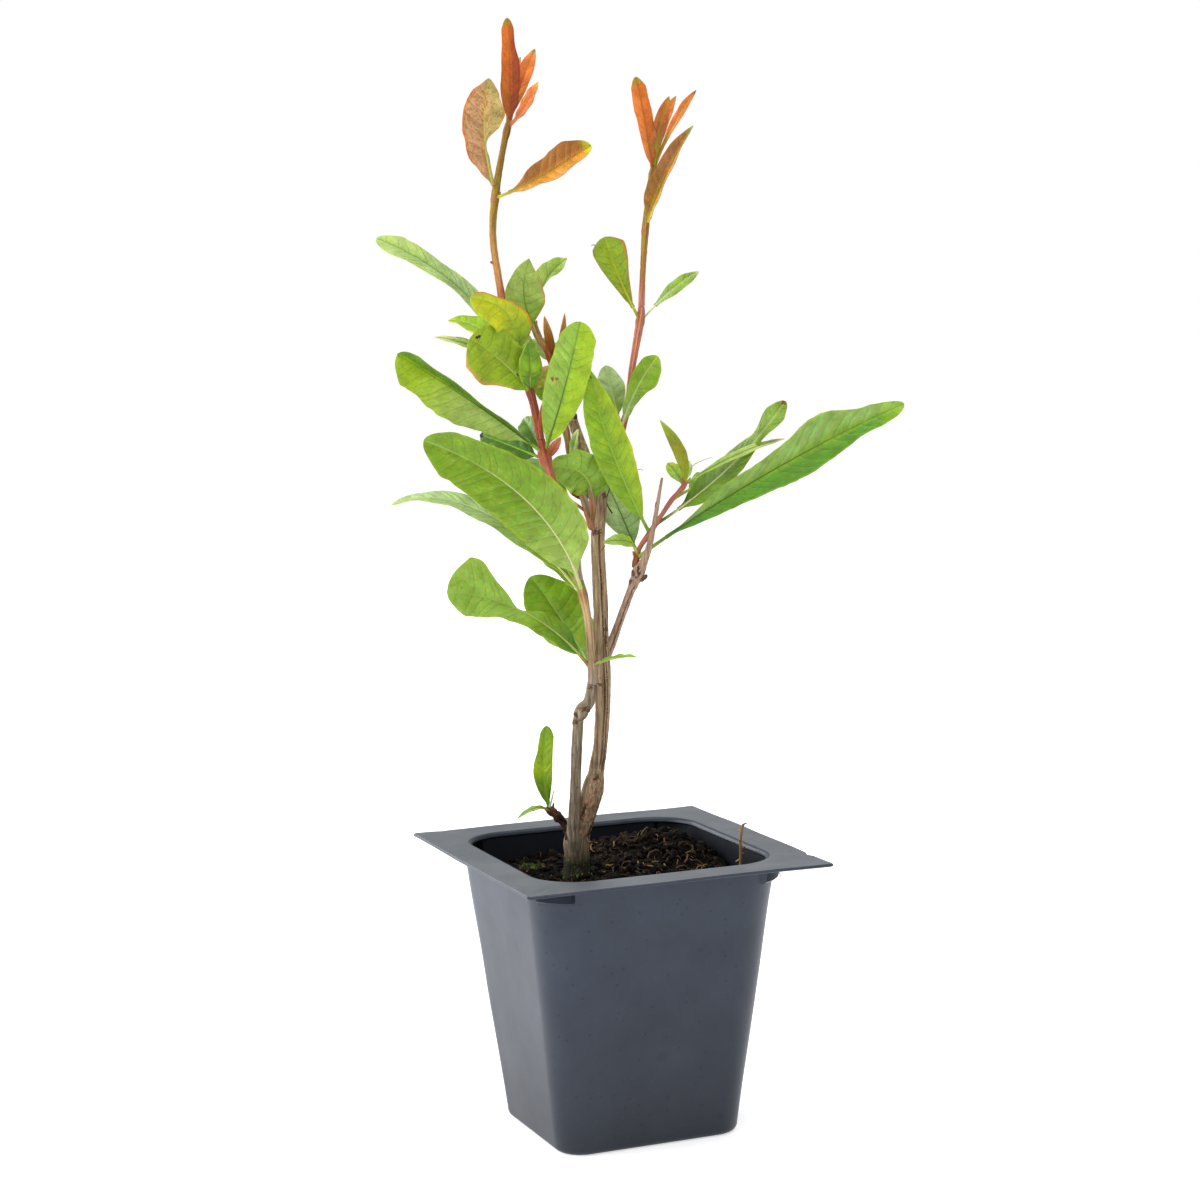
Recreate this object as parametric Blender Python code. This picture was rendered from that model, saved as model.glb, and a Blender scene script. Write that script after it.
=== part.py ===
# A young pomegranate plant in its square plastic pot: metres, +Z up, origin under the middle of the pot.
# Every size below is in millimetres. The plant is set out as across, away and up, seen from its show side,
# and the whole plant is then turned to its place in the square pot.

import math
import random

import bmesh
import bpy
from mathutils import Matrix, Vector

MM = 0.001
GAP = 0.3  # kept between pieces that touch
PLANT_TURN = math.radians(-22.6)  # from the pot's sides to the plant's show side

# Pot: a thin square tub with a flat flange and a stacking lug under each corner
POT_HEIGHT = 70.9
POT_WALL = 1.0
FLANGE_THICK = 0.8
FLANGE_HALF = (40.0, 41.3)
FLANGE_CORNER = 0.8
BODY_TOP_HALF = (32.8, 33.7)
BODY_TOP_CORNER = 13.0
BODY_FOOT_HALF = (24.3, 22.2)
BODY_FOOT_CORNER = 7.0
FOOT_ROUNDING = 1.6
MOUTH_HALF = (30.6, 31.5)
MOUTH_CORNER = 11.5
MOUTH_ROUNDING = 1.0
LUG_REACH = 1.4
LUG_HEIGHT = 6.5
LUG_BELOW_MOUTH = 2.4
LUG_HALF_ANGLE = math.radians(21)
CORNER_STEPS = 12
DRAIN_RADIUS = 3.8
DRAIN_FROM_MIDDLE = 0.55  # of the foot's half side

# Soil
SOIL_TOP = 63.2
SOIL_MOUND = 6.5
MOUND_PLACE = (8.5, 20.0)  # across and away
MOUND_REACH = 24.0
SOIL_EDGE_DROP = 0.9

# Stems: (across, away, up, radius) at each bend, from the soil upwards
TRUNK = (
    (-10.2, 2.0, SOIL_TOP + GAP, 3.7),
    (-10.1, 2.0, 66.5, 3.2),
    (-9.8, 1.8, 72.0, 3.0),
    (-8.6, 1.0, 77.5, 2.9),
    (-6.5, 0.0, 83.0, 2.5),
    (-5.4, 0.0, 87.0, 2.5),
    (-4.6, 0.0, 91.0, 1.9),
    (-3.4, 0.0, 98.5, 1.75),
    (-2.7, 0.0, 111.0, 1.9),
    (-2.8, 0.0, 121.0, 1.9),
    (-3.0, 0.0, 134.0, 1.75),
    (-3.3, 0.0, 148.5, 1.65),
    (-2.6, 0.5, 157.5, 1.6),
    (-3.2, 1.6, 163.0, 1.5),
    (-5.8, 3.4, 168.5, 1.45),
    (-9.0, 6.0, 178.0, 1.2),
)
LEFT_STEM = (
    (-10.6, -1.0, 75.0, 1.4),
    (-10.4, -1.6, 80.0, 1.4),
    (-9.8, -2.0, 91.3, 1.3),
    (-9.1, -3.0, 102.8, 1.35),
    (-8.2, -3.6, 106.3, 1.7),
    (-6.3, -4.0, 108.9, 1.4),
    (-5.4, -4.5, 113.0, 1.35),
)
RIGHT_BOUGH = (
    (-2.6, 1.0, 117.5, 1.3),
    (-0.5, 1.0, 122.2, 1.2),
    (1.9, 1.0, 128.5, 1.1),
    (4.5, 0.0, 135.6, 1.1),
    (6.6, -1.0, 140.4, 1.5),
    (8.9, -2.8, 145.4, 0.95),
    (10.9, -3.6, 153.7, 0.8),
    (12.8, -4.5, 164.1, 0.65),
)

# Foliage masses: each has a stem like those above and leaves that leave it at a height. A leaf has its reach
# from there to its tip, its width, and the way its upper side looks. An uneven blade has the width of its left
# and right edges along it, as shares of half its width. What a leaf doesn't state is drawn by its shoot's
# seed: the bow of the rib, its sway, the fold along the rib and the twist.
MASSES = {
    "left_low_leaves": {
        "limb": None,
        "tone": "green",
        "stem": (
            (-5.4, -4.5, 113.3, 1.35),
            (-5.1, -4.5, 115.6, 1.5),
            (-5.5, -5.2, 121.0, 1.3),
            (-6.1, -6.0, 129.5, 1.25),
            (-7.2, -7.0, 135.8, 1.4),
            (-8.0, -7.5, 139.5, 1.2),
        ),
        "leaves": (
            dict(at=116.5, reach=(-34.3, -15.0, 22.3), width=12.0, face=(0.2, -1, 0.5), stalk=6.0,
                 left=(0.3, 0.5, 0.6, 0.62, 0.75, 0.95, 0.95), right=(0.3, 0.5, 0.45, 0.1, 0.6, 1.35, 1.3),
                 bow=0.03, sway=-0.10, twist=0),
            dict(at=117.5, reach=(-15.0, 10.0, 22.0), width=14.5, face=(0.3, -1, 0.3), stalk=4.0, sway=0,
                 blunt=0.6),
            dict(at=118.0, reach=(10.8, -9.0, 1.2), width=3.6, face=(0, -0.2, 1), stalk=1.0, widest=0.3),
            dict(at=136.0, reach=(-36.6, -24.0, 40.0), width=16.5, face=(0, -1, 0.2), bow=0.06, sway=-0.11,
                 stalk=5.0, left=(0.1, 0.65, 0.92, 1.0, 0.95, 0.8, 0.65),
                 right=(0.1, 0.8, 1.0, 0.95, 0.8, 0.62, 0.55), twist=0),
            dict(at=135.5, reach=(-47.8, 20.0, 23.8), width=7.4, face=(0, -0.8, 1), bow=0.18, stalk=6.0,
                 curl=0.08, widest=0.38),
            dict(at=135.0, reach=(-14.0, 33.0, 19.0), width=11.0, face=(0, -0.3, 1)),
            dict(at=117.0, reach=(-8.0, 30.0, 14.0), width=10.0, face=(0, -0.4, 1)),
        ),
    },
    "left_middle_leaves": {
        "limb": None,
        "tone": "green",
        "stem": (
            (-8.1, -7.6, 139.8, 1.2),
            (-10.1, -9.0, 149.7, 1.2),
            (-12.8, -10.0, 159.6, 1.25),
            (-15.8, -11.0, 170.0, 1.9),
            (-16.7, -11.3, 174.5, 1.3),
        ),
        "leaves": (
            dict(at=171.0, reach=(9.3, -8.0, 31.8), width=10.0, face=(0, -1, 0.1), sway=-0.02, stalk=2.5,
                 widest=0.55, blunt=0.4),
            dict(at=171.0, reach=(-34.2, -11.0, 25.2), width=11.6, face=(0.1, -1, -0.65), sway=-0.03,
                 stalk=5.0, fold=35, left=(0.1, 0.5, 0.75, 0.95, 1.0, 0.85, 0.8),
                 right=(0.1, 0.2, 0.25, 0.35, 0.45, 0.6, 0.8), twist=0),
            dict(at=170.5, reach=(-5.6, 16.0, 8.6), width=6.0, face=(-0.4, -1, 0.3)),
            dict(at=169.5, reach=(-16.3, 9.0, 6.0), width=7.0, face=(0, -0.6, 1)),
        ),
    },
    "left_rosette": {
        "limb": None,
        "tone": "bright",
        "stem": (
            (-16.8, -11.3, 174.8, 1.3),
            (-18.8, -12.0, 185.4, 1.5),
            (-22.0, -12.0, 193.9, 1.2),
            (-23.4, -11.6, 198.5, 1.1),
        ),
        "leaves": (
            dict(at=186.0, reach=(-0.2, -7.0, 12.2), width=5.2, face=(0.2, -1, 0), stalk=0.8, widest=0.5),
            dict(at=185.8, reach=(-14.0, -8.0, 13.8), width=12.5, face=(0.2, -1, 0.4), stalk=0.8,
                 left=(0.1, 0.5, 0.9, 1.3, 1.25, 0.9), right=(0.1, 0.55, 0.85, 0.95, 0.95, 0.8)),
            dict(at=190.0, reach=(-35.9, 14.0, 34.0), width=6.4, face=(0, -1, 0.7), bow=0.03, sway=-0.09,
                 left=(0.1, 0.4, 0.5, 0.5, 0.65, 0.9, 1.1), right=(0.1, 0.5, 0.7, 0.85, 0.8, 0.9, 1.0)),
            dict(at=194.0, reach=(-10.2, -10.0, 15.0), width=9.6, face=(-0.1, -1, 0.7), sway=-0.22, stalk=1.5,
                 left=(0.2, 0.7, 1.0, 1.1, 1.0, 0.85, 0.7), right=(0.2, 0.8, 0.9, 0.7, 0.45, 0.4, 0.5)),
            dict(at=193.0, reach=(-17.3, 9.0, 10.8), width=4.4, face=(0, -0.8, 1), bow=0.18),
            dict(at=192.0, reach=(-21.0, 7.0, 7.9), width=2.8, face=(0, -0.8, 1)),
            dict(at=186.0, reach=(5.0, 7.0, 6.2), width=5.0, face=(-0.4, -1, 0), stalk=0.8),
            dict(at=186.5, reach=(-6.0, 27.0, 14.0), width=9.0, face=(0, -0.6, 1)),
            dict(at=192.0, reach=(-2.0, 22.0, 6.0), width=7.0, face=(0, -0.8, 1)),
        ),
    },
    "left_crown": {
        "limb": None,
        "tone": "copper",
        "stem": (
            (-23.5, -11.5, 198.8, 1.1),
            (-24.8, -11.0, 203.0, 1.05),
            (-25.6, -10.0, 209.8, 1.0),
            (-27.3, -8.0, 222.8, 0.95),
            (-26.7, -6.0, 233.0, 1.05),
            (-24.6, -4.0, 244.5, 0.85),
            (-23.4, -4.0, 249.5, 0.9),
            (-22.7, -4.0, 251.6, 0.7),
        ),
        "leaves": (
            dict(at=250.5, reach=(0.4, -2.0, 25.2), width=4.4, face=(0.3, -1, 0), stalk=0.8, widest=0.55,
                 sway=0),
            dict(at=250.7, reach=(6.6, 3.0, 18.0), width=3.8, face=(-0.2, -1, 0), stalk=0.8, widest=0.6),
            dict(at=250.2, reach=(3.1, 8.0, 17.0), width=3.4, face=(-0.5, -1, 0), stalk=0.8, widest=0.6),
            dict(at=250.0, reach=(7.4, -6.0, 10.2), width=3.4, face=(-0.8, -1, 0.2), stalk=0.8, widest=0.65,
                 sway=-0.12),
            dict(at=234.2, reach=(-0.8, -8.0, 26.6), width=9.0, face=(-0.1, -1, 0), sway=0.06, stalk=2.0,
                 left=(0.1, 0.6, 0.95, 1.1, 1.0, 0.6), right=(0.1, 0.25, 0.3, 0.6, 0.95, 0.8), twist=0),
            dict(at=232.9, reach=(23.2, -10.0, 11.9), width=7.4, face=(0.1, -1, 0.5), stalk=4.0, fold=30,
                 sway=-0.05, widest=0.68, blunt=0.5, twist=0),
        ),
    },
    "middle_leaves": {
        "limb": "trunk",
        "tone": "green",
        "stem": (
            (-4.4, -0.3, 151.6, 1.1),
            (-7.5, -0.2, 161.9, 1.1),
            (-9.6, 0.5, 169.0, 1.0),
            (-10.6, 1.0, 175.4, 1.0),
            (-13.5, 3.0, 191.7, 1.1),
            (-16.9, 5.0, 198.5, 1.0),
            (-18.5, 5.5, 202.7, 0.8),
        ),
        "leaves": (
            dict(at=155.5, reach=(-18.1, 2.0, 14.0), width=6.5, face=(0, -1, 0.6), bow=0.1, stalk=7.0),
            dict(at=155.0, reach=(-9.2, -7.5, 12.6), width=9.0, face=(-0.1, -1, 0.4), sway=-0.30, stalk=3.0,
                 blunt=0.5, twist=0),
            dict(at=168.5, reach=(1.9, -5.0, 8.0), width=3.2, face=(-1, -1, 0), stalk=0.8),
            dict(at=201.0, reach=(-1.0, -3.5, 17.2), width=8.6, face=(0.1, -1, 0.1), sway=0.12, stalk=1.5),
            dict(at=201.5, reach=(7.2, 8.0, 16.4), width=6.8, face=(0.2, -1, 0.2), sway=0.13, stalk=2.0,
                 left=(0.1, 0.6, 0.9, 1.0, 0.9, 0.6), right=(0.1, 0.3, 0.3, 0.45, 0.75, 0.6)),
            dict(at=191.5, reach=(-2.0, -2.6, 12.6), width=2.9, face=(0, -1, 0), stalk=0.8),
            dict(at=191.5, reach=(3.0, -0.5, 13.2), width=2.6, face=(0.3, -1, 0), stalk=0.8),
            dict(at=191.8, reach=(3.9, -4.5, 7.5), width=3.0, face=(0.3, -1, 0), stalk=0.8),
            dict(at=175.5, reach=(-8.0, 26.0, 14.0), width=9.0, face=(0, -0.6, 1)),
            dict(at=192.0, reach=(-6.0, 24.0, 6.0), width=8.5, face=(0, -0.5, 1)),
            dict(at=161.0, reach=(-10.0, 30.0, 4.0), width=9.5, face=(0, -0.4, 1)),
        ),
    },
    "right_high_leaves": {
        "limb": "trunk",
        "tone": "green",
        "stem": (
            (-3.0, 1.2, 160.0, 0.9),
            (0.6, 2.0, 169.6, 0.95),
            (3.2, 3.0, 176.2, 1.05),
            (4.8, 3.0, 181.9, 0.95),
            (5.9, 3.0, 190.5, 1.0),
            (8.1, 3.0, 202.3, 1.3),
            (8.5, 2.9, 206.0, 0.95),
        ),
        "leaves": (
            dict(at=176.0, reach=(-3.6, 10.0, 15.4), width=6.8, face=(0.2, -1, 0.3)),
            dict(at=175.5, reach=(9.1, -6.0, 18.4), width=4.8, face=(-0.5, -1, 0.2), stalk=3.0, sway=0.02,
                 blunt=0.5, widest=0.65),
            dict(at=202.6, reach=(-8.4, -6.0, 20.6), width=7.6, face=(0.1, -1, 0.1), stalk=4.0, widest=0.6,
                 blunt=0.6, sway=0.03),
            dict(at=202.2, reach=(15.1, 9.0, 12.4), width=3.5, face=(0, -1, 0.8), stalk=6.0, bow=0.02,
                 sway=0.03, widest=0.55),
            dict(at=166.5, reach=(-1.0, 24.0, 8.0), width=7.0, face=(0, -0.7, 1)),
        ),
    },
    "right_crown": {
        "limb": None,
        "tone": "copper",
        "stem": (
            (8.5, 2.9, 206.3, 0.9),
            (9.0, 2.5, 215.0, 0.85),
            (9.7, 2.0, 224.3, 1.0),
            (10.4, 1.5, 231.0, 0.8),
            (11.4, 1.0, 237.3, 0.85),
            (12.2, 1.0, 240.4, 0.7),
        ),
        "leaves": (
            dict(at=239.0, reach=(-3.8, -3.0, 22.5), width=4.3, face=(0.2, -1, 0), stalk=0.8, widest=0.6,
                 sway=0),
            dict(at=239.5, reach=(4.0, -3.0, 17.2), width=3.4, face=(-0.2, -1, 0), stalk=0.8, widest=0.6),
            dict(at=239.8, reach=(5.8, 5.0, 17.5), width=3.0, face=(-0.4, -1, 0), stalk=0.8, widest=0.6),
            dict(at=239.0, reach=(10.8, 2.0, 19.5), width=2.2, face=(-0.2, -1, 0.3), stalk=0.8, widest=0.7),
            dict(at=225.5, reach=(11.6, -9.0, 23.8), width=5.2, face=(-0.9, -1, 0), stalk=1.5, fold=40,
                 widest=0.42, sway=0),
        ),
    },
    "right_side_leaves": {
        "limb": "right_bough",
        "tone": "green",
        "stem": (
            (5.8, -0.6, 141.8, 1.0),
            (6.8, 0.6, 146.0, 0.9),
            (9.7, 1.8, 150.1, 1.0),
            (11.2, 2.0, 152.3, 0.85),
            (15.3, 2.0, 158.2, 0.85),
            (18.1, 2.0, 161.3, 0.9),
            (18.8, 2.0, 163.0, 0.7),
        ),
        "leaves": (
            dict(at=150.0, reach=(-15.0, -12.0, 42.0), width=9.6, face=(0.1, -1, 0.1), stalk=4.5, bow=0.03,
                 sway=0.035),
            dict(at=145.0, reach=(-7.4, 14.0, 17.0), width=9.4, face=(0.2, -1, 0.2), stalk=3.0),
            dict(at=144.5, reach=(-8.2, -11.0, 4.6), width=3.8, face=(0, -1, 0.8), bow=0.2, stalk=3.0),
            dict(at=144.0, reach=(65.6, -9.0, 37.6), width=11.6, face=(0.1, -1, 0.5), stalk=9.0, bow=0.02,
                 sway=0.02, left=(0.05, 0.2, 0.55, 0.55, 0.85, 1.15, 0.6, 0.5),
                 right=(0.1, 0.32, 0.62, 0.78, 1.0, 0.76, 0.42, 0.40), twist=0),
            dict(at=152.0, reach=(33.8, 15.0, 29.5), width=7.6, face=(0, -1, 0.5), stalk=7.0, bow=0,
                 sway=-0.05, left=(0.1, 0.6, 0.9, 0.8, 0.6, 0.4, 0.72, 0.7),
                 right=(0.1, 0.7, 1.0, 0.85, 0.6, 0.4, 0.65, 0.6)),
            dict(at=162.3, reach=(-6.2, -8.0, 16.0), width=3.0, face=(-0.3, -1, 0), stalk=0.8, sway=-0.07),
            dict(at=161.8, reach=(-3.9, 6.0, 5.2), width=3.6, face=(0, -1, 0.4), stalk=0.8),
            dict(at=162.4, reach=(1.2, 5.0, 5.1), width=2.8, face=(0, -1, 0.2), stalk=0.8),
            dict(at=162.2, reach=(25.9, 15.0, 9.8), width=2.6, face=(0, -0.9, 1), bow=0.08, stalk=3.0),
            dict(at=158.2, reach=(16.0, 24.0, 5.0), width=8.0, face=(0, -0.5, 1), stalk=8.0),
        ),
    },
    "base_sprout": {
        "limb": "trunk",
        "tone": "green",
        "stem": (
            (-11.6, 1.6, 74.6, 1.0),
            (-14.0, 0.6, 78.2, 0.9),
            (-17.0, -1.6, 81.5, 0.8),
        ),
        "leaves": (
            dict(at=80.9, reach=(-0.2, -3.0, 21.9), width=4.2, face=(0.2, -1, 0), stalk=1.5, sway=0.07),
            dict(at=80.7, reach=(-8.3, -6.0, -0.4), width=1.8, face=(0, -0.6, 1), bow=0.2, stalk=0.8),
        ),
    },
}

# Leaf build
LEAF_STATIONS = 9
LEAF_THICK = 0.011  # of its length, and never under the next value
LEAF_THIN = 0.34
STALK_HALF = 0.45
ROUND_END = 1.6
STEP = 4.5  # along a stem
LIMB_SIDES = 10
STEM_SIDES = 8

COLOURS = {
    "pot": ((0.060, 0.070, 0.090), 0.42),
    "soil": ((0.030, 0.020, 0.014), 0.95),
    "bark": ((0.240, 0.170, 0.110), 0.85),
    "green": ((0.170, 0.380, 0.040), 0.48),
    "bright": ((0.330, 0.480, 0.030), 0.48),
    "copper": ((0.560, 0.170, 0.060), 0.50),
}


def clear_scene():
    for thing in list(bpy.data.objects):
        bpy.data.objects.remove(thing, do_unlink=True)


def material(name):
    colour, roughness = COLOURS[name]
    made = bpy.data.materials.get(name) or bpy.data.materials.new(name)
    made.use_nodes = True
    shader = made.node_tree.nodes["Principled BSDF"]
    shader.inputs["Base Color"].default_value = (*colour, 1.0)
    shader.inputs["Roughness"].default_value = roughness
    shader.inputs["Metallic"].default_value = 0.0
    made.diffuse_color = (*colour, 1.0)
    return made


def add_object(name, rings, look, smooth_angle=40.0):
    """A closed mesh lofted through rings of equal point counts, with a flat cap at each end."""
    shape = bmesh.new()
    rows = [[shape.verts.new(point * MM) for point in ring] for ring in rings]
    count = len(rows[0])
    for low, high in zip(rows, rows[1:]):
        for i in range(count):
            j = (i + 1) % count
            shape.faces.new((low[i], low[j], high[j], high[i]))
    shape.faces.new(tuple(reversed(rows[0])))
    shape.faces.new(tuple(rows[-1]))
    bmesh.ops.recalc_face_normals(shape, faces=shape.faces)
    mesh = bpy.data.meshes.new(name)
    shape.to_mesh(mesh)
    shape.free()
    mesh.materials.append(material(look))
    mesh.shade_smooth()
    mesh.set_sharp_from_angle(angle=math.radians(smooth_angle))
    made = bpy.data.objects.new(name, mesh)
    bpy.context.scene.collection.objects.link(made)
    return made


def apply_modifiers(thing):
    """Keeps the evaluated mesh as the object's own."""
    bpy.context.view_layer.update()
    seen = thing.evaluated_get(bpy.context.evaluated_depsgraph_get())
    mesh = bpy.data.meshes.new_from_object(seen)
    thing.modifiers.clear()
    thing.data = mesh


def cut_away(thing, cutter):
    """Takes the cutter's space out of the thing and removes the cutter."""
    cutter.hide_render = True
    cutter.display_type = "WIRE"
    cut = thing.modifiers.new("cut", "BOOLEAN")
    cut.operation = "DIFFERENCE"
    cut.solver = "EXACT"
    cut.object = cutter
    apply_modifiers(thing)
    bpy.data.objects.remove(cutter, do_unlink=True)


def mix(low, high, share):
    return low + (high - low) * share


def body_size(height):
    """The pot body's outer half sides and corner radius at a height."""
    share = height / POT_HEIGHT
    half = [mix(a, b, share) for a, b in zip(BODY_FOOT_HALF, BODY_TOP_HALF)]
    return half[0], half[1], mix(BODY_FOOT_CORNER, BODY_TOP_CORNER, share)


def square_ring(half_x, half_y, corner, height, lug=0.0):
    """A rounded square, with a bump of depth lug at the middle of each corner."""
    ring = []
    for quarter in range(4):
        for step in range(CORNER_STEPS + 1):
            angle = math.radians(90.0) * (quarter + step / CORNER_STEPS)
            off_middle = abs(angle - math.radians(90.0 * quarter + 45.0))
            radius = corner + (lug if off_middle <= LUG_HALF_ANGLE else 0.0)
            middle_x = math.copysign(half_x - corner, math.cos(math.radians(90.0 * quarter + 45.0)))
            middle_y = math.copysign(half_y - corner, math.sin(math.radians(90.0 * quarter + 45.0)))
            ring.append(
                Vector((middle_x + radius * math.cos(angle), middle_y + radius * math.sin(angle), height))
            )
    return ring


def body_ring(height, inset=0.0, lug=0.0):
    half_x, half_y, corner = body_size(height)
    return square_ring(half_x - inset, half_y - inset, max(corner - inset, 1.0), height, lug)


def make_pot():
    lug_foot = POT_HEIGHT - FLANGE_THICK - LUG_HEIGHT
    under_flange = POT_HEIGHT - FLANGE_THICK
    rings = [body_ring(0.0, inset=FOOT_ROUNDING)]
    for angle in (30.0, 60.0, 90.0):
        turn = math.radians(angle)
        height = FOOT_ROUNDING * (1.0 - math.cos(turn))
        half_x, half_y, corner = body_size(height)
        inset = FOOT_ROUNDING * (1.0 - math.sin(turn))
        rings.append(square_ring(half_x - inset, half_y - inset, corner - inset, height))
    rings += [
        body_ring(POT_HEIGHT * 0.5),
        body_ring(lug_foot),
        body_ring(lug_foot + 0.3, lug=LUG_REACH),
        body_ring(under_flange, lug=LUG_REACH),
        square_ring(*FLANGE_HALF, FLANGE_CORNER, under_flange),
        square_ring(*FLANGE_HALF, FLANGE_CORNER, POT_HEIGHT),
    ]
    for angle in (90.0, 60.0, 30.0, 0.0):
        turn = math.radians(angle)
        drop = MOUTH_ROUNDING * (1.0 - math.sin(turn))
        out = MOUTH_ROUNDING * (1.0 - math.cos(turn))
        rings.append(
            square_ring(MOUTH_HALF[0] + out, MOUTH_HALF[1] + out, MOUTH_CORNER + out, POT_HEIGHT - drop)
        )
    rings += [
        body_ring(POT_HEIGHT - LUG_BELOW_MOUTH, inset=POT_WALL),
        body_ring(POT_HEIGHT - LUG_BELOW_MOUTH - 0.3, inset=POT_WALL, lug=LUG_REACH),
        body_ring(lug_foot + 0.3 + POT_WALL, inset=POT_WALL, lug=LUG_REACH),
        body_ring(lug_foot + POT_WALL, inset=POT_WALL),
        body_ring(POT_HEIGHT * 0.5, inset=POT_WALL),
        body_ring(POT_WALL + FOOT_ROUNDING, inset=POT_WALL),
        body_ring(POT_WALL, inset=POT_WALL + FOOT_ROUNDING),
    ]
    pot = add_object("pot", rings, "pot", 35.0)
    for sign_x in (-1, 1):
        for sign_y in (-1, 1):
            cut_away(pot, drain_cutter(sign_x, sign_y))
    return pot


def drain_cutter(sign_x, sign_y):
    middle = Vector((sign_x * BODY_FOOT_HALF[0], sign_y * BODY_FOOT_HALF[1], 0.0)) * DRAIN_FROM_MIDDLE
    rings = []
    for height in (-2.0, POT_WALL + 2.0):
        turns = [math.tau * i / 20 for i in range(20)]
        rings.append(
            [middle + Vector((DRAIN_RADIUS * math.cos(t), DRAIN_RADIUS * math.sin(t), height)) for t in turns]
        )
    return add_object("drain", rings, "pot")


def soil_height(point):
    mound = Vector((*MOUND_PLACE, 0.0))
    mound.rotate(Matrix.Rotation(PLANT_TURN, 3, "Z"))
    share = (point.xy - mound.xy).length / MOUND_REACH
    return SOIL_TOP + SOIL_MOUND * max(1.0 - share * share, 0.0) ** 2


def make_soil():
    clear = POT_WALL + GAP
    rings = [
        body_ring(clear, inset=clear + FOOT_ROUNDING),
        body_ring(clear + FOOT_ROUNDING, inset=clear),
        body_ring(POT_HEIGHT * 0.5, inset=clear),
        body_ring(SOIL_TOP - 2.0 * SOIL_EDGE_DROP, inset=clear),
    ]
    edge = body_ring(SOIL_TOP, inset=clear)
    for share in (1.0, 0.85, 0.7, 0.55, 0.4, 0.2):
        ring = [Vector((point.x * share, point.y * share, 0.0)) for point in edge]
        for point in ring:
            point.z = soil_height(point) - (SOIL_EDGE_DROP if share == 1.0 else 0.0)
        rings.append(ring)
    return add_object("soil", rings, "soil")


def smooth_path(knots):
    """Points and radii along a curve through the knots, close together where they are needed."""
    spots = [Vector(knot[:3]) for knot in knots]
    radii = [knot[3] for knot in knots]
    path = []
    for i in range(len(spots) - 1):
        before = spots[max(i - 1, 0)]
        after = spots[min(i + 2, len(spots) - 1)]
        steps = max(1, round((spots[i + 1] - spots[i]).length / STEP))
        for step in range(steps):
            path.append((curve_point(before, spots[i], spots[i + 1], after, step / steps),
                         mix(radii[i], radii[i + 1], step / steps)))
    path.append((spots[-1], radii[-1]))
    return path


def curve_point(before, low, high, after, share):
    """A Catmull-Rom point between low and high."""
    square, cube = share * share, share ** 3
    return 0.5 * (
        2.0 * low
        + (high - before) * share
        + (2.0 * before - 5.0 * low + 4.0 * high - after) * square
        + (3.0 * low - before - 3.0 * high + after) * cube
    )


def stem_rings(knots, sides, grow=0.0):
    """Round rings square to the stem, each turned as little as can be from the one before."""
    path = smooth_path(knots)
    spots = [point for point, _ in path]
    side = Vector((1.0, 0.0, 0.0))
    rings = []
    for i, (point, radius) in enumerate(path):
        along = (spots[min(i + 1, len(spots) - 1)] - spots[max(i - 1, 0)]).normalized()
        side = (side - along * side.dot(along)).normalized()
        other = along.cross(side)
        ring = []
        for k in range(sides):
            turn = math.tau * k / sides
            ring.append(point + (side * math.cos(turn) + other * math.sin(turn)) * (radius + grow))
        rings.append(ring)
    rings[0] = level_ring(rings[0], knots) if knots is TRUNK else rings[0]
    return rings


def level_ring(ring, knots):
    """The trunk's flat cut at the soil."""
    return [Vector((point.x, point.y, knots[0][2])) for point in ring]


def stem_point(knots, height):
    """Where the stem's middle is at a height."""
    path = smooth_path(knots)
    for (low, _), (high, _) in zip(path, path[1:]):
        if low.z <= height <= high.z:
            return low.lerp(high, (height - low.z) / (high.z - low.z))
    return path[-1][0]


def blade_half(leaf, share, edge):
    """The blade's width from its rib to one edge, at a share of the blade's length."""
    half = 0.5 * leaf["width"]
    outline = leaf.get(edge)
    if not outline:
        power = math.log(0.5) / math.log(leaf["widest"])
        return half * max(math.sin(math.pi * share ** power), 0.0) ** leaf["blunt"]
    place = share * (len(outline) - 1)
    low = min(int(place), len(outline) - 2)
    rounding = min(1.0, ROUND_END * math.sqrt(4.0 * share * (1.0 - share)))
    return half * mix(outline[low], outline[low + 1], place - low) * rounding


def finished_leaf(entry, draw):
    """The leaf with what its entry leaves open drawn by seed."""
    leaf = dict(
        bow=draw.uniform(0.02, 0.07),
        sway=draw.uniform(-0.03, 0.03),
        fold=draw.uniform(6.0, 14.0),
        twist=draw.uniform(-12.0, 12.0),
        stalk=draw.uniform(2.5, 4.0),
        curl=draw.uniform(0.0, 0.03),
        widest=0.5,
        blunt=0.7,
    )
    leaf.update(entry)
    return leaf


def leaf_frame(leaf, root, share):
    """A point of the rib, and the blade's side and upward directions there."""
    reach = Vector(leaf["reach"])
    length = reach.length
    along = reach.normalized()
    face = Vector(leaf["face"])
    up = (face - along * face.dot(along)).normalized()
    side = up.cross(along)
    arch = 4.0 * share * (1.0 - share)
    droop = leaf["curl"] * max(share - 0.75, 0.0) ** 2 * 16.0
    point = root + along * (length * share)
    point += up * (length * (leaf["bow"] * arch - droop)) + side * (length * leaf["sway"] * arch)
    lean = (up * leaf["bow"] + side * leaf["sway"]) * (4.0 - 8.0 * share)
    tangent = (along + lean - up * (leaf["curl"] * 32.0 * max(share - 0.75, 0.0))).normalized()
    side = up.cross(tangent).normalized()
    turn = math.radians(leaf["twist"]) * share
    up = tangent.cross(side)
    side, up = side * math.cos(turn) + up * math.sin(turn), up * math.cos(turn) - side * math.sin(turn)
    return point, side, up


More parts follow.
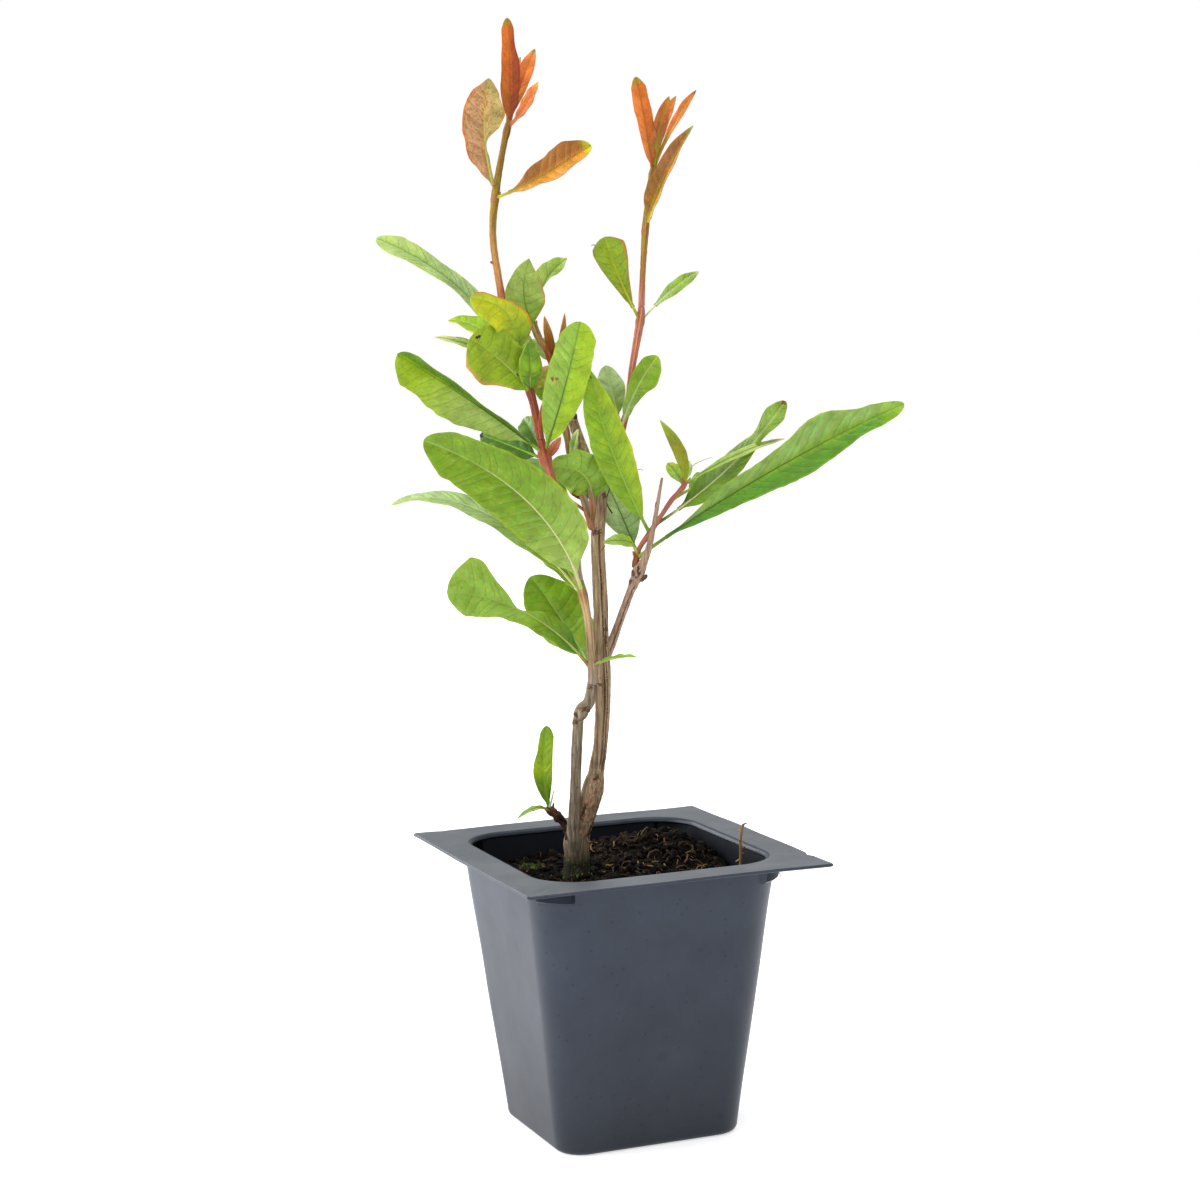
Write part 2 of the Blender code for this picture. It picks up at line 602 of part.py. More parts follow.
def leaf_rings(leaf, root):
    """Six-point rings from the stalk's root to the tip: two edges and the rib, above and below."""
    length = Vector(leaf["reach"]).length
    thick = max(LEAF_THIN, LEAF_THICK * length)
    stalk = leaf["stalk"] / length
    shares = [0.0, stalk]
    for i in range(1, LEAF_STATIONS):
        shares.append(mix(stalk, 1.0, 0.5 - 0.5 * math.cos(math.pi * i / LEAF_STATIONS)))
    shares.append(1.0)
    rings = []
    for share in shares:
        point, side, up = leaf_frame(leaf, root, share)
        blade = max(share - stalk, 0.0) / (1.0 - stalk)
        slope = math.tan(math.radians(leaf["fold"])) * min(blade * 6.0, 1.0)
        wide = [max(blade_half(leaf, blade, edge), STALK_HALF) for edge in ("left", "right")]
        over = up * (0.5 * thick)
        rib = over * 1.3
        left = point + (side + up * slope) * wide[0]
        right = point + (up * slope - side) * wide[1]
        rings.append([left + over, left - over, point - rib, right - over, right + over, point + rib])
    return rings


def make_limb(name, knots, limb=None):
    made = add_object(name, stem_rings(knots, LIMB_SIDES), "bark", 50.0)
    if limb:
        cut_away(made, add_object("clearance", stem_rings(limb, LIMB_SIDES * 2, GAP), "bark"))
    return made


def make_mass(name, mass, limbs):
    """One solid: the stem with its leaves' roots sunk to its middle."""
    draw = random.Random(name)
    stem = add_object(name, stem_rings(mass["stem"], STEM_SIDES), mass["tone"], 50.0)
    parts = bpy.data.collections.new(name + "_parts")
    bpy.context.scene.collection.children.link(parts)
    for number, entry in enumerate(mass["leaves"]):
        leaf = finished_leaf(entry, draw)
        root = stem_point(mass["stem"], leaf["at"])
        blade = add_object(f"{name}_{number}", leaf_rings(leaf, root), mass["tone"], 50.0)
        bpy.context.scene.collection.objects.unlink(blade)
        parts.objects.link(blade)
    join = stem.modifiers.new("join", "BOOLEAN")
    join.operation = "UNION"
    join.solver = "EXACT"
    join.use_self = True
    join.operand_type = "COLLECTION"
    join.collection = parts
    apply_modifiers(stem)
    for blade in list(parts.objects):
        bpy.data.objects.remove(blade, do_unlink=True)
    bpy.data.collections.remove(parts)
    if mass["limb"]:
        knots = limbs[mass["limb"]]
        cut_away(stem, add_object("clearance", stem_rings(knots, LIMB_SIDES * 2, GAP), "bark"))
    return stem


def main():
    clear_scene()
    make_pot()
    make_soil()
    plant = bpy.data.objects.new("plant", None)
    bpy.context.scene.collection.objects.link(plant)
    plant.rotation_euler.z = PLANT_TURN
    limbs = {"trunk": TRUNK, "right_bough": RIGHT_BOUGH}
    pieces = [
        make_limb("trunk", TRUNK),
        make_limb("left_stem", LEFT_STEM, TRUNK),
        make_limb("right_bough", RIGHT_BOUGH, TRUNK),
    ]
    for name, mass in MASSES.items():
        pieces.append(make_mass(name, mass, limbs))
    for piece in pieces:
        piece.parent = plant


main()
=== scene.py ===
import math
import random

import bmesh
import bpy
from mathutils import Matrix, Vector, noise


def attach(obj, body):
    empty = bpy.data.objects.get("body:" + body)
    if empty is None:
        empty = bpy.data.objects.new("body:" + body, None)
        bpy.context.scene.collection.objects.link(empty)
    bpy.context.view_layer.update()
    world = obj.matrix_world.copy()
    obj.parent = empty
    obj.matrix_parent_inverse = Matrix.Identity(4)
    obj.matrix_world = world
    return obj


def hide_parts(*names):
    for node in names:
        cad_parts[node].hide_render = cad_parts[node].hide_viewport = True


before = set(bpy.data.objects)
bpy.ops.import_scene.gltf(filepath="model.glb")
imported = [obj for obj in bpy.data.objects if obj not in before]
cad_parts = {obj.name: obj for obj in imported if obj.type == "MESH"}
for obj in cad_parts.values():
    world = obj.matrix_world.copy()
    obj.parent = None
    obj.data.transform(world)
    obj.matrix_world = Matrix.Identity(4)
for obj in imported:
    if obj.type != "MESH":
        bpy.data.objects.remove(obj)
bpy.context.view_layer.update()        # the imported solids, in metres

mm = 0.001
thinnest = 0.03          # mm, the least radius of a stem
plantTurn = Matrix.Rotation(math.radians(-22.6), 4, "Z")   # from the pot's sides to the plant's show side


# plain helpers

def mix(low, high, share):
    return low + (high - low) * share


def clamp(value, low=0.0, high=1.0):
    return max(low, min(high, value))


def ease(low, high, value):      # 0 below low, 1 above high, smooth between
    share = clamp((value - low) / (high - low))
    return share * share * (3.0 - 2.0 * share)


def around(low, high, value, soft):      # 1 between low and high, fading over soft
    return ease(low - soft, low, value) * (1.0 - ease(high, high + soft, value))


# tones: every plain colour of leaves, twigs and fibres, as it looks in daylight

tones = dict(
    forest="4b6c1e", deepGreen="577b12", leafGreen="7a9b38", greyGreen="6f8b55", softGreen="8eb04a",
    paleGreen="a4bc62", mistGreen="97b072", lime="96b31c", yellowGreen="b3bb20", gold="c6c02c",
    cream="cfcd98", olive="8c8a34", tan="c0965c", apricot="df854a", copper="c76f38", bronze="97602c",
    rust="9c4c34", brown="7a4829", black="30241c", silver="b4c4a0", rose="c0604e", blush="d08a7a",
    pinkBark="a3877a", oliveBark="8a7b48", nodeBrown="8a5c3e", crownBark="a67a46", darkCrown="7f5c2e",
    redBark="9c5540", darkRed="80483a", roseBark="b0705a", ochreBark="86702e", brownBark="875e44",
    greyBark="8d7b6c", spurBark="43322a", fibreDark="43352a", fibreMid="68503c", fibreLight="8f7250",
    fibrePale="a98a60", mossDark="14160c", mossGreen="3c481c", mossLight="76943a", sprigBrown="8a7054",
    potShard="4f5762", potDark="0e1219", oliveGreen="88a028", freshGreen="86a92c", ochre="c58b42",
    umber="8c5c34", grassGreen="568602", sage="809e5a", rosyTan="b28b68", khaki="a89c62", lowBark="ab8f6c",
    plum="8a3c34",
)
finishing = dict(
    lightGain=1.02,      # how bright the studio makes a white thing
    step=13,             # colours closer than this share one finish
    leaf=dict(rough=0.5, gloss=0.030, specular=0.35, grain=1500.0, relief=0.22),      # gloss lifts a tone
    twig=dict(rough=0.76, gloss=0.010, specular=0.25, grain=2200.0, relief=0.4),
    grainRoughness=0.62, rampEnds=(0.3, 0.7),
    fineRelief=0.0002, coarseRelief=0.0004,      # metres
    speckSoft=0.7,       # where a speck begins to fade, as a share of its size
)


def channels(tone):      # a tone's name or its six digits
    digits = tones.get(tone, tone)
    return [int(digits[i:i + 2], 16) for i in (0, 2, 4)]


def blend(low, high, share):
    return [mix(a, b, share) for a, b in zip(low, high)]


def toLinear(level):
    level = level / 255.0
    return level / 12.92 if level <= 0.04045 else ((level + 0.055) / 1.055) ** 2.4


def paint(tone):
    return (*[toLinear(level) / finishing["lightGain"] for level in channels(tone)], 1.0)


def addNode(owner, kind, sockets, **settings):      # a socket takes a plain value or another node's output
    node = owner.node_tree.nodes.new("ShaderNode" + kind)
    for key, value in settings.items():
        setattr(node, key, value)
    fillSockets(owner, node, sockets)
    return node


def fillSockets(owner, node, sockets):
    for name, value in sockets.items():
        if isinstance(value, bpy.types.NodeSocket):
            owner.node_tree.links.new(value, node.inputs[name])
        else:
            node.inputs[name].default_value = value


def newFinish(name):
    made = bpy.data.materials.new(name)
    made.use_nodes = True
    return made, addNode(made, "TexCoord", {}).outputs["Object"]


def plainFinish(colour, kind):      # one base colour, shared by all faces of that colour
    step = finishing["step"]
    key = [int(clamp(round(level / step) * step, 0, 255)) for level in colour]
    name = "{}_{:02x}{:02x}{:02x}".format(kind, *key)
    made = bpy.data.materials.get(name)
    if made:
        return made
    made, place = newFinish(name)
    style = finishing[kind]
    levels = [toLinear(level) - style["gloss"] for level in key]
    albedo = [clamp(level / finishing["lightGain"], 0.004, 0.85) for level in levels]
    grain = addNode(made, "TexNoise", {"Vector": place, "Scale": style["grain"]})
    bump = addNode(made, "Bump", {
        "Height": grain.outputs["Fac"], "Strength": style["relief"], "Distance": finishing["fineRelief"],
    })
    fillSockets(made, made.node_tree.nodes["Principled BSDF"], {
        "Base Color": (*albedo, 1.0), "Roughness": style["rough"], "Specular IOR Level": style["specular"],
        "Normal": bump.outputs["Normal"],
    })
    return made


def grainFinish(name, colours, scale, stretch=(1, 1, 1), rough=(0.7, 0.9), relief=0.5, detail=8.0,
                height=None, spots=(), gloss=0.5):      # a base colour, roughness and relief in one grain
    made, place = newFinish(name)
    mapping = addNode(made, "Mapping", {"Vector": place, "Scale": stretch})
    grain = addNode(made, "TexNoise", {
        "Vector": mapping.outputs["Vector"], "Scale": scale, "Detail": detail,
        "Roughness": finishing["grainRoughness"],
    }).outputs["Fac"]
    ramp = addNode(made, "ValToRGB", {"Fac": grain})
    while len(ramp.color_ramp.elements) < len(colours):
        ramp.color_ramp.elements.new(0.5)
    for i, colour in enumerate(colours):
        element = ramp.color_ramp.elements[i]
        element.position = mix(*finishing["rampEnds"], i / (len(colours) - 1))
        element.color = paint(colour)
    colourOut = ramp.outputs["Color"]
    if height:      # another colour at the foot: low mm, high mm, tone, strength
        low, high, tone, strength = height
        split = addNode(made, "SeparateXYZ", {"Vector": place})
        colourOut = fadeOver(made, colourOut, split.outputs["Z"], low * mm, high * mm, tone, strength)
    for spacing, size, tone, strength in spots:      # round specks, size as a share of their spacing
        specks = addNode(made, "TexVoronoi", {"Vector": place, "Scale": spacing})
        soft = finishing["speckSoft"] * size
        colourOut = fadeOver(made, colourOut, specks.outputs["Distance"], soft, size, tone, strength)
    sheen = addNode(made, "MapRange", {"Value": grain, "To Min": rough[1], "To Max": rough[0]})
    bump = addNode(made, "Bump", {
        "Height": grain, "Strength": relief, "Distance": finishing["coarseRelief"],
    })
    fillSockets(made, made.node_tree.nodes["Principled BSDF"], {
        "Base Color": colourOut, "Roughness": sheen.outputs["Result"], "Specular IOR Level": gloss,
        "Normal": bump.outputs["Normal"],
    })
    return made


def fadeOver(made, colourOut, value, low, high, tone, strength):      # a tone that fades out from low to high
    share = addNode(made, "MapRange", {
        "Value": value, "From Min": low, "From Max": high, "To Min": strength, "To Max": 0.0,
    })
    sockets = {"Factor": share.outputs["Result"], "A": colourOut, "B": paint(tone)}
    return addNode(made, "Mix", sockets, data_type="RGBA").outputs["Result"]


def newObject(name, data):
    made = bpy.data.objects.new(name, data)
    bpy.context.scene.collection.objects.link(made)
    return made


# meshes: a heap gathers the points and faces of one joined piece

class Heap:
    def __init__(self):
        self.points = []
        self.faces = []
        self.looks = []      # the finish of each face
        self.slots = {}

    def add(self, points, faces, look):      # look: one finish, or one for each face
        start = len(self.points)
        self.points.extend(points)
        for i, face in enumerate(faces):
            self.faces.append([start + corner for corner in face])
            self.looks.append(look[i] if isinstance(look, list) else look)

    def piece(self, name, slotName, replaced=None, turned=True, sharp=50.0):
        mesh = bpy.data.meshes.new(name)
        mesh.from_pydata([point * mm for point in self.points], [], self.faces)
        numbers = {}
        indices = []
        for look in self.looks:
            if look.name not in numbers:
                numbers[look.name] = len(numbers)
                mesh.materials.append(look)
            indices.append(numbers[look.name])
        mesh.polygons.foreach_set("material_index", indices)
        if turned:
            mesh.transform(plantTurn)
        mesh.shade_smooth()
        mesh.set_sharp_from_angle(angle=math.radians(sharp))
        made = newObject(name, mesh)
        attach(made, "root")
        if replaced:
            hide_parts(replaced)
        return made


def curvePoint(before, low, high, after, share):      # a smooth curve through low and high
    square = share * share
    cube = square * share
    return 0.5 * (
        2.0 * low
        + (high - before) * share
        + (2.0 * before - 5.0 * low + 4.0 * high - after) * square
        + (3.0 * low - before - 3.0 * high + after) * cube
    )


def smoothPath(knots, step):      # points and radii through the knots of a stem
    spots = [Vector(knot[:3]) for knot in knots]
    path = []
    for i in range(len(spots) - 1):
        before = spots[max(i - 1, 0)]
        after = spots[min(i + 2, len(spots) - 1)]
        count = max(1, round((spots[i + 1] - spots[i]).length / step))
        for k in range(count):
            share = k / count
            spot = curvePoint(before, spots[i], spots[i + 1], after, share)
            path.append((spot, mix(knots[i][3], knots[i + 1][3], ease(0, 1, share))))
    path.append((spots[-1], knots[-1][3]))
    return path


def stemPoint(path, height):      # where a stem's middle is at a height
    for (low, _), (high, _) in zip(path, path[1:]):
        if low.z <= height <= high.z:
            return low.lerp(high, (height - low.z) / max(high.z - low.z, 1e-6))
    return path[-1][0]


def closedFaces(rings, count):      # the sides between rings, then a fan over each end
    faces = []
    for i in range(rings - 1):
        for k in range(count):
            j = (k + 1) % count
            faces.append((i * count + k, i * count + j, (i + 1) * count + j, (i + 1) * count + k))
    for first, middle in ((0, rings * count), ((rings - 1) * count, rings * count + 1)):
        for k in range(count):
            low, high = first + k, first + (k + 1) % count
            faces.append((low, high, middle) if first else (high, low, middle))
    return faces


def turnOf(way):      # degrees round the stem from the show side
    return math.degrees(math.atan2(way.x, -way.y))


def tube(heap, path, sides, look, relief=None, tip=0.6, level=False):
    # look(height, turn), or a finish or a list of them, and relief(height, turn, radius)
    points = []
    last = len(path) - 1
    side = None
    for i, (spot, radius) in enumerate(path):
        along = (path[min(i + 1, last)][0] - path[max(i - 1, 0)][0]).normalized()
        side = along.orthogonal() if side is None else side - along * side.dot(along)
        side = side.normalized()
        other = along.cross(side)
        for k in range(sides):
            angle = math.tau * k / sides
            way = side * math.cos(angle) + other * math.sin(angle)
            out = radius + (relief(spot.z, turnOf(way), radius) if relief else 0.0)
            point = spot + way * max(out, thinnest)
            if level and i == 0:
                point.z = spot.z
            points.append(point)
    if callable(look):
        walls = enumerate(points[:last * sides])
        looks = [look(spot.z, turnOf(spot - path[i // sides][0])) for i, spot in walls]
        looks += [look(path[end][0].z, 0.0) for end in (0, last) for _ in range(sides)]
    for end in (0, last):
        way = path[end][0] - path[abs(end - 1)][0]
        out = 0.0 if (level and end == 0) else tip * path[end][1]
        points.append(path[end][0] + way.normalized() * out)
    heap.add(points, closedFaces(last + 1, sides), looks if callable(look) else look)


def thread(heap, spots, radius, look, sides=5, taper=0.4):      # a thin whisker, fibre or burr
    knots = [(*spot, mix(radius, radius * taper, i / (len(spots) - 1))) for i, spot in enumerate(spots)]
    tube(heap, smoothPath(knots, 0.9), sides, look)


# camera, light and floor

viewpoint = dict(
    lens=81.5,           # mm, on a sensor 36 mm wide
    distance=0.6759,     # m
    pitch=6.781,
    yaw=22.639,
    roll=-1.049,
    moveRight=-0.00304,
    lookHeight=0.1337,
)
studio = dict(
    floorSize=12.0,
    floorGlow=0.52,      # keeps the floor as white as the room, with only a faint shadow
    surround=0.54,       # the white room round the plant
    lights=(             # place, aim, size and power
        ("windowLight", (-1.00, 0.30, 0.55), (0.0, 0.0, 0.15), 0.7, 9.5),
        ("backPanel", (-0.50, 1.15, 0.35), (0.0, 0.0, 0.08), 0.9, 9.0),
        ("topLight", (0.05, -0.15, 1.05), (0.0, 0.0, 0.12), 0.7, 6.5),
        ("frontLight", (-0.75, -1.00, 0.45), (0.0, 0.0, 0.16), 0.7, 2.0),
    ),
)


def makeCamera():
    pitch, yaw, roll = [math.radians(viewpoint[key]) for key in ("pitch", "yaw", "roll")]
    ahead = Vector((math.sin(yaw) * math.cos(pitch), math.cos(yaw) * math.cos(pitch), -math.sin(pitch)))
    right = Vector((math.cos(yaw), -math.sin(yaw), 0.0))
    up = right.cross(ahead)
    tiltedRight = right * math.cos(roll) + up * math.sin(roll)
    tiltedUp = up * math.cos(roll) - right * math.sin(roll)
    place = Vector((0, 0, viewpoint["lookHeight"])) - ahead * viewpoint["distance"]
    place += right * viewpoint["moveRight"]
    data = bpy.data.cameras.new("camera")
    data.sensor_width = 36.0
    data.lens = viewpoint["lens"]
    data.clip_start = 0.01
    made = newObject("camera", data)
    turn = Matrix((tiltedRight, tiltedUp, -ahead)).transposed().to_4x4()
    made.matrix_world = Matrix.Translation(place) @ turn
    bpy.context.scene.camera = made


def makeStudio():
    bpy.context.scene.view_settings.view_transform = "Standard"
    white = (1.0, 1.0, 1.0, 1.0)
    world = bpy.data.worlds.new("whiteRoom")
    bpy.context.scene.world = world
    world.use_nodes = True
    nodes = world.node_tree.nodes
    room = nodes["Background"]
    fillSockets(world, room, {"Color": white, "Strength": studio["surround"]})
    backdrop = addNode(world, "Background", {"Color": white})
    path = addNode(world, "LightPath", {})
    choose = addNode(world, "MixShader", {"Fac": path.outputs["Is Camera Ray"]})
    world.node_tree.links.new(room.outputs["Background"], choose.inputs[1])
    world.node_tree.links.new(backdrop.outputs["Background"], choose.inputs[2])
    fillSockets(world, nodes["World Output"], {"Surface": choose.outputs["Shader"]})
    for name, place, aim, size, power in studio["lights"]:
        data = bpy.data.lights.new(name, "AREA")
        data.size = size
        data.energy = power
        lamp = newObject(name, data)
        lamp.location = place
        lamp.rotation_euler = (Vector(aim) - Vector(place)).to_track_quat("-Z", "Y").to_euler()
    half = studio["floorSize"] / 2
    mesh = bpy.data.meshes.new("floor")
    corners = [(x * half, y * half, 0) for x, y in ((-1, -1), (1, -1), (1, 1), (-1, 1))]
    mesh.from_pydata(corners, [], [(0, 1, 2, 3)])
    paper = grainFinish("floorPaper", ("f4f4f6", "f6f6f8"), 300.0, rough=(0.8, 0.95), relief=0.05)
    glow = {"Emission Color": white, "Emission Strength": studio["floorGlow"]}
    fillSockets(paper, paper.node_tree.nodes["Principled BSDF"], glow)
    mesh.materials.append(paper)
    floor = newObject("floor", mesh)


makeCamera()
makeStudio()
print("camera, light and floor made")


# pot: a thin square tub with a torn flange, in the pot's own square frame

pot = dict(
    height=70.9, wall=1.0, flangeThick=0.8, flangeHalf=(40.0, 41.3), flangeCorner=0.8, edgeSoft=0.22,
    topHalf=(32.8, 33.7), topCorner=13.0, footHalf=(24.3, 22.2), footCorner=7.0, footRounding=1.6,
    mouthHalf=(30.6, 31.5), mouthCorner=11.5, mouthRounding=1.0,
    lugReach=1.4, lugHeight=4.8, lugBelowMouth=1.6, lugHalfAngle=20.0, lugSoft=3.0, lugShade=(8, 21),
    drainRadius=3.8, drainDepth=8.0, drainSides=40, drainFromMiddle=0.55,
    cornerSteps=28, sideSteps=34,
    bow=0.25, bowSpan=(4.0, 60.0),      # how far the thin walls are from flat, and between which heights
    warp=0.35, warpSpacing=0.045,      # how far the flange is out of true
    crease=(-35.6, 0.5, 0.22, -26.0, -18.0),      # place, width, depth and where it fades
    tearReach=1.6,
    tears=((-33.0, 41.3, 1.5, 1.1), (40.0, -28.3, 1.3, 0.9), (12.0, 41.3, 3.0, 0.4)),   # place, width, depth
    burrs=((31.4, -27.5), (32.4, -25.0), (31.9, -22.5), (30.6, -29.0), (32.6, -23.6)),
)


def bodySize(height):
    share = height / pot["height"]
    half = [mix(a, b, share) for a, b in zip(pot["footHalf"], pot["topHalf"])]
    return half[0], half[1], mix(pot["footCorner"], pot["topCorner"], share)


def squareRing(halfX, halfY, corner, height, lug=0.0):
    ring = []
    def cornerCentre(angle):
        x = math.copysign(halfX - corner, math.cos(angle))
        y = math.copysign(halfY - corner, math.sin(angle))
        return Vector((x, y, height))
    for quarter in range(4):
        middle = math.radians(90.0 * quarter + 45.0)
        centre = cornerCentre(middle)
        for step in range(pot["cornerSteps"] + 1):
            angle = math.radians(90.0) * (quarter + step / pot["cornerSteps"])
            off = abs(math.degrees(angle - middle))
            fade = ease(pot["lugHalfAngle"], pot["lugHalfAngle"] + pot["lugSoft"], off)
            radius = corner + lug * (1.0 - fade)
            ring.append(centre + Vector((radius * math.cos(angle), radius * math.sin(angle), 0.0)))
        nextCentre = cornerCentre(middle + math.radians(90.0))
        turn = math.radians(90.0) * (quarter + 1)
        start = ring[-1]
        end = nextCentre + Vector((corner * math.cos(turn), corner * math.sin(turn), 0.0))
        for step in range(1, pot["sideSteps"]):
            ring.append(start.lerp(end, step / pot["sideSteps"]))
    return ring


def bodyRing(height, inset=0.0, lug=0.0):
    halfX, halfY, corner = bodySize(height)
    return squareRing(halfX - inset, halfY - inset, max(corner - inset, 1.0), height, lug)


def outOfTrue(point, amount):      # the flange's soft waves, its torn notches and its crease
    spacing = pot["warpSpacing"]
    wave = noise.noise(Vector((point.x * spacing, point.y * spacing, 3.0)))
    point.z += pot["warp"] * amount * wave
    for x, y, width, depth in pot["tears"]:
        facesX = abs(abs(x) - pot["flangeHalf"][0]) < 0.5      # which side the tear is in
        off, along = abs(point.x - x), abs(point.y - y)
        if not facesX:
            off, along = along, off
        if off < pot["tearReach"] and along < width:
            pull = depth * (1.0 - ease(0.2 * width, width, along)) * amount
            point -= Vector((math.copysign(pull, x), 0, 0) if facesX else (0, math.copysign(pull, y), 0))
    place, width, depth, start, end = pot["crease"]
    crease = math.exp(-((point.x - place) / width) ** 2) * (1.0 - ease(start, end, point.y))
    point.z -= depth * crease * amount
    return point


def loft(heap, rings, look):      # look: one finish, or one for each band between two rings
    count = len(rings[0])
    points = [point for ring in rings for point in ring]
    points += [sum(ring, Vector()) / count for ring in (rings[0], rings[-1])]
    if isinstance(look, list):
        look = [band for band in look for _ in range(count)] + [look[0]] * count + [look[-1]] * count
    heap.add(points, closedFaces(len(rings), count), look)


def potRings():
    lugFoot = pot["height"] - pot["flangeThick"] - pot["lugHeight"]
    under = pot["height"] - pot["flangeThick"]
    top = pot["height"]
    rings = [bodyRing(0.0, inset=pot["footRounding"])]
    for angle in (18.0, 36.0, 54.0, 72.0, 90.0):
        turn = math.radians(angle)
        height = pot["footRounding"] * (1.0 - math.cos(turn))
        rings.append(bodyRing(height, inset=pot["footRounding"] * (1.0 - math.sin(turn))))
    rings += [bodyRing(mix(pot["footRounding"], lugFoot, share / 12)) for share in range(1, 13)]
    reach = pot["lugReach"]
    rings += [bodyRing(lugFoot + 0.3, lug=reach * 0.75), bodyRing(lugFoot + 0.7, lug=reach)]
    lugStart = len(rings) - 1
    rings += [bodyRing(mix(lugFoot + 0.7, under - 0.4, share / 3), lug=reach) for share in (1, 2, 3)]
    lugEnd = len(rings)
    for share in (0.08, 0.35, 0.65, 0.93):
        wide = bodyRing(under, lug=reach)
        edge = squareRing(*pot["flangeHalf"], pot["flangeCorner"], under)
        rings.append([outOfTrue(a.lerp(b, share), share) for a, b in zip(wide, edge)])
    halfX, halfY = pot["flangeHalf"]
    soft = pot["edgeSoft"]
    for inset, height in ((soft, under), (0.0, under + soft), (0.0, top - soft), (soft, top)):
        ring = squareRing(halfX - inset, halfY - inset, pot["flangeCorner"], height)
        rings.append([outOfTrue(point, 1.0) for point in ring])
    topStart = len(rings) - 1
    inner = squareRing(pot["mouthHalf"][0] + 1.0, pot["mouthHalf"][1] + 1.0, pot["mouthCorner"] + 1.0, top)
    outer = squareRing(halfX - soft, halfY - soft, pot["flangeCorner"], top)
    for share in (0.88, 0.7, 0.5, 0.3, 0.12):
        rings.append([outOfTrue(a.lerp(b, share), share) for a, b in zip(inner, outer)])
    topEnd = len(rings)
    halfX, halfY = pot["mouthHalf"]
    for angle in (90.0, 67.0, 45.0, 22.0, 0.0):
        turn = math.radians(angle)
        drop = pot["mouthRounding"] * (1.0 - math.sin(turn))
        out = pot["mouthRounding"] * (1.0 - math.cos(turn))
        rings.append(squareRing(halfX + out, halfY + out, pot["mouthCorner"] + out, top - drop))
    insideStart = len(rings)
    wall = pot["wall"]
    ledge = top - pot["lugBelowMouth"]
    inner = dict(inset=wall, lug=reach)
    rings += [bodyRing(ledge, inset=wall), bodyRing(ledge - 0.3, **inner)]
    rings += [bodyRing(mix(ledge - 0.3, lugFoot + 0.3 + wall, share / 3), **inner) for share in (1, 2, 3)]
    foot = wall + pot["footRounding"]
    rings += [bodyRing(mix(lugFoot + wall, foot, share / 8), inset=wall) for share in range(9)]
    rings.append(bodyRing(wall, inset=foot))
    return rings, (lugStart, lugEnd), (topStart, topEnd), insideStart


def makePot():
    specks = ((97.0, 0.15, "potDark", 0.26), (330.0, 0.15, "potDark", 0.45), (620.0, 0.10, "potShard", 0.25))
    # potDark fading out from the foot up to 62 mm is painted shade; the specks are the plastic's own
    plastic = grainFinish("potPlastic", ("242c3a", "29313f", "2e3745"), 70.0, rough=(0.36, 0.46), relief=0.05,
                          detail=10.0, height=(0.0, 62.0, "potDark", 0.6), spots=specks, gloss=0.3)
    # the flange's top: the same plastic, lightened as painted light where it faces the light from above
    topSide = grainFinish("potTopPaintedLight", ("4c5158", "545a61", "5c6269"), 90.0, rough=(0.30, 0.42), relief=0.08,
                          detail=10.0, spots=specks[1:])
    # the inner wall and floor: the same plastic, darkened as painted shade of the pot's deep inside
    inside = grainFinish("potInsidePaintedShade", ("060a13", "0a101b", "101724"), 60.0, rough=(0.40, 0.60), relief=0.1,
                         gloss=0.2)
    shade = grainFinish("potShade", ("121821", "171d28", "1c2330"), 90.0, rough=(0.5, 0.6), relief=0.05,
                        gloss=0.1)
    heap = Heap()
    rings, lugBands, topBands, insideStart = potRings()
    low, high = pot["bowSpan"]
    for point in [point for ring in rings for point in ring if low < point.z < high]:
        bow = pot["bow"] * noise.noise(Vector((point.x * 0.06, point.y * 0.06, point.z * 0.05)))
        point += Vector((point.x, point.y, 0.0)).normalized() * bow
    bands = [plastic] * (len(rings) - 1)
    bands[slice(*topBands)] = [topSide] * (topBands[1] - topBands[0])
    bands[insideStart:] = [inside] * (len(bands) - insideStart)
    loft(heap, rings, bands)
    quarterCount = pot["cornerSteps"] + pot["sideSteps"]
    for band in range(*lugBands):      # the lugs lie in the flange's deep shade
        for quarter in range(4):
            for step in range(*pot["lugShade"]):
                heap.looks[band * 4 * quarterCount + quarter * quarterCount + step] = shade
    for x, y in pot["burrs"]:
        draw = random.Random(f"burr {x}")
        start = Vector((x - 0.8, y, draw.uniform(66.0, 69.5)))
        spots = [start]
        for reaches in (((0.8, 1.3), (-1.0, 1.0), (-0.8, 0.4)), ((0.1, 0.7), (-0.9, 0.9), (-1.8, 0.8))):
            spots.append(spots[-1] + Vector([draw.uniform(*reach) for reach in reaches]))
        thread(heap, spots, draw.uniform(0.18, 0.34), plastic)
    made = heap.piece("potShell", "pot_plastic", "pot", turned=False, sharp=32.0)
    for signX in (-1, 1):
        for signY in (-1, 1):
            cutDrain(made, signX, signY)


def cutDrain(thing, signX, signY):
    middle = Vector((signX * pot["footHalf"][0], signY * pot["footHalf"][1], 0.0)) * pot["drainFromMiddle"]
    shape = bmesh.new()
    radius = pot["drainRadius"] * mm
    spot = Matrix.Translation(middle * mm)
    bmesh.ops.create_cone(shape, cap_ends=True, segments=pot["drainSides"], radius1=radius, radius2=radius,
                          depth=pot["drainDepth"] * mm, matrix=spot)
    mesh = bpy.data.meshes.new("drain")
    shape.to_mesh(mesh)
    shape.free()
    cutter = newObject("drain", mesh)
    cut = thing.modifiers.new("cut", "BOOLEAN")
    cut.operation = "DIFFERENCE"
    cut.object = cutter
    bpy.context.view_layer.update()
    cutMesh = bpy.data.meshes.new_from_object(thing.evaluated_get(bpy.context.evaluated_depsgraph_get()))
    thing.modifiers.clear()
    thing.data = cutMesh
    bpy.data.objects.remove(cutter, do_unlink=True)


makePot()
print("pot made")


# soil: dark peat with crumbs, root fibres, a tuft of moss and a dry sprig

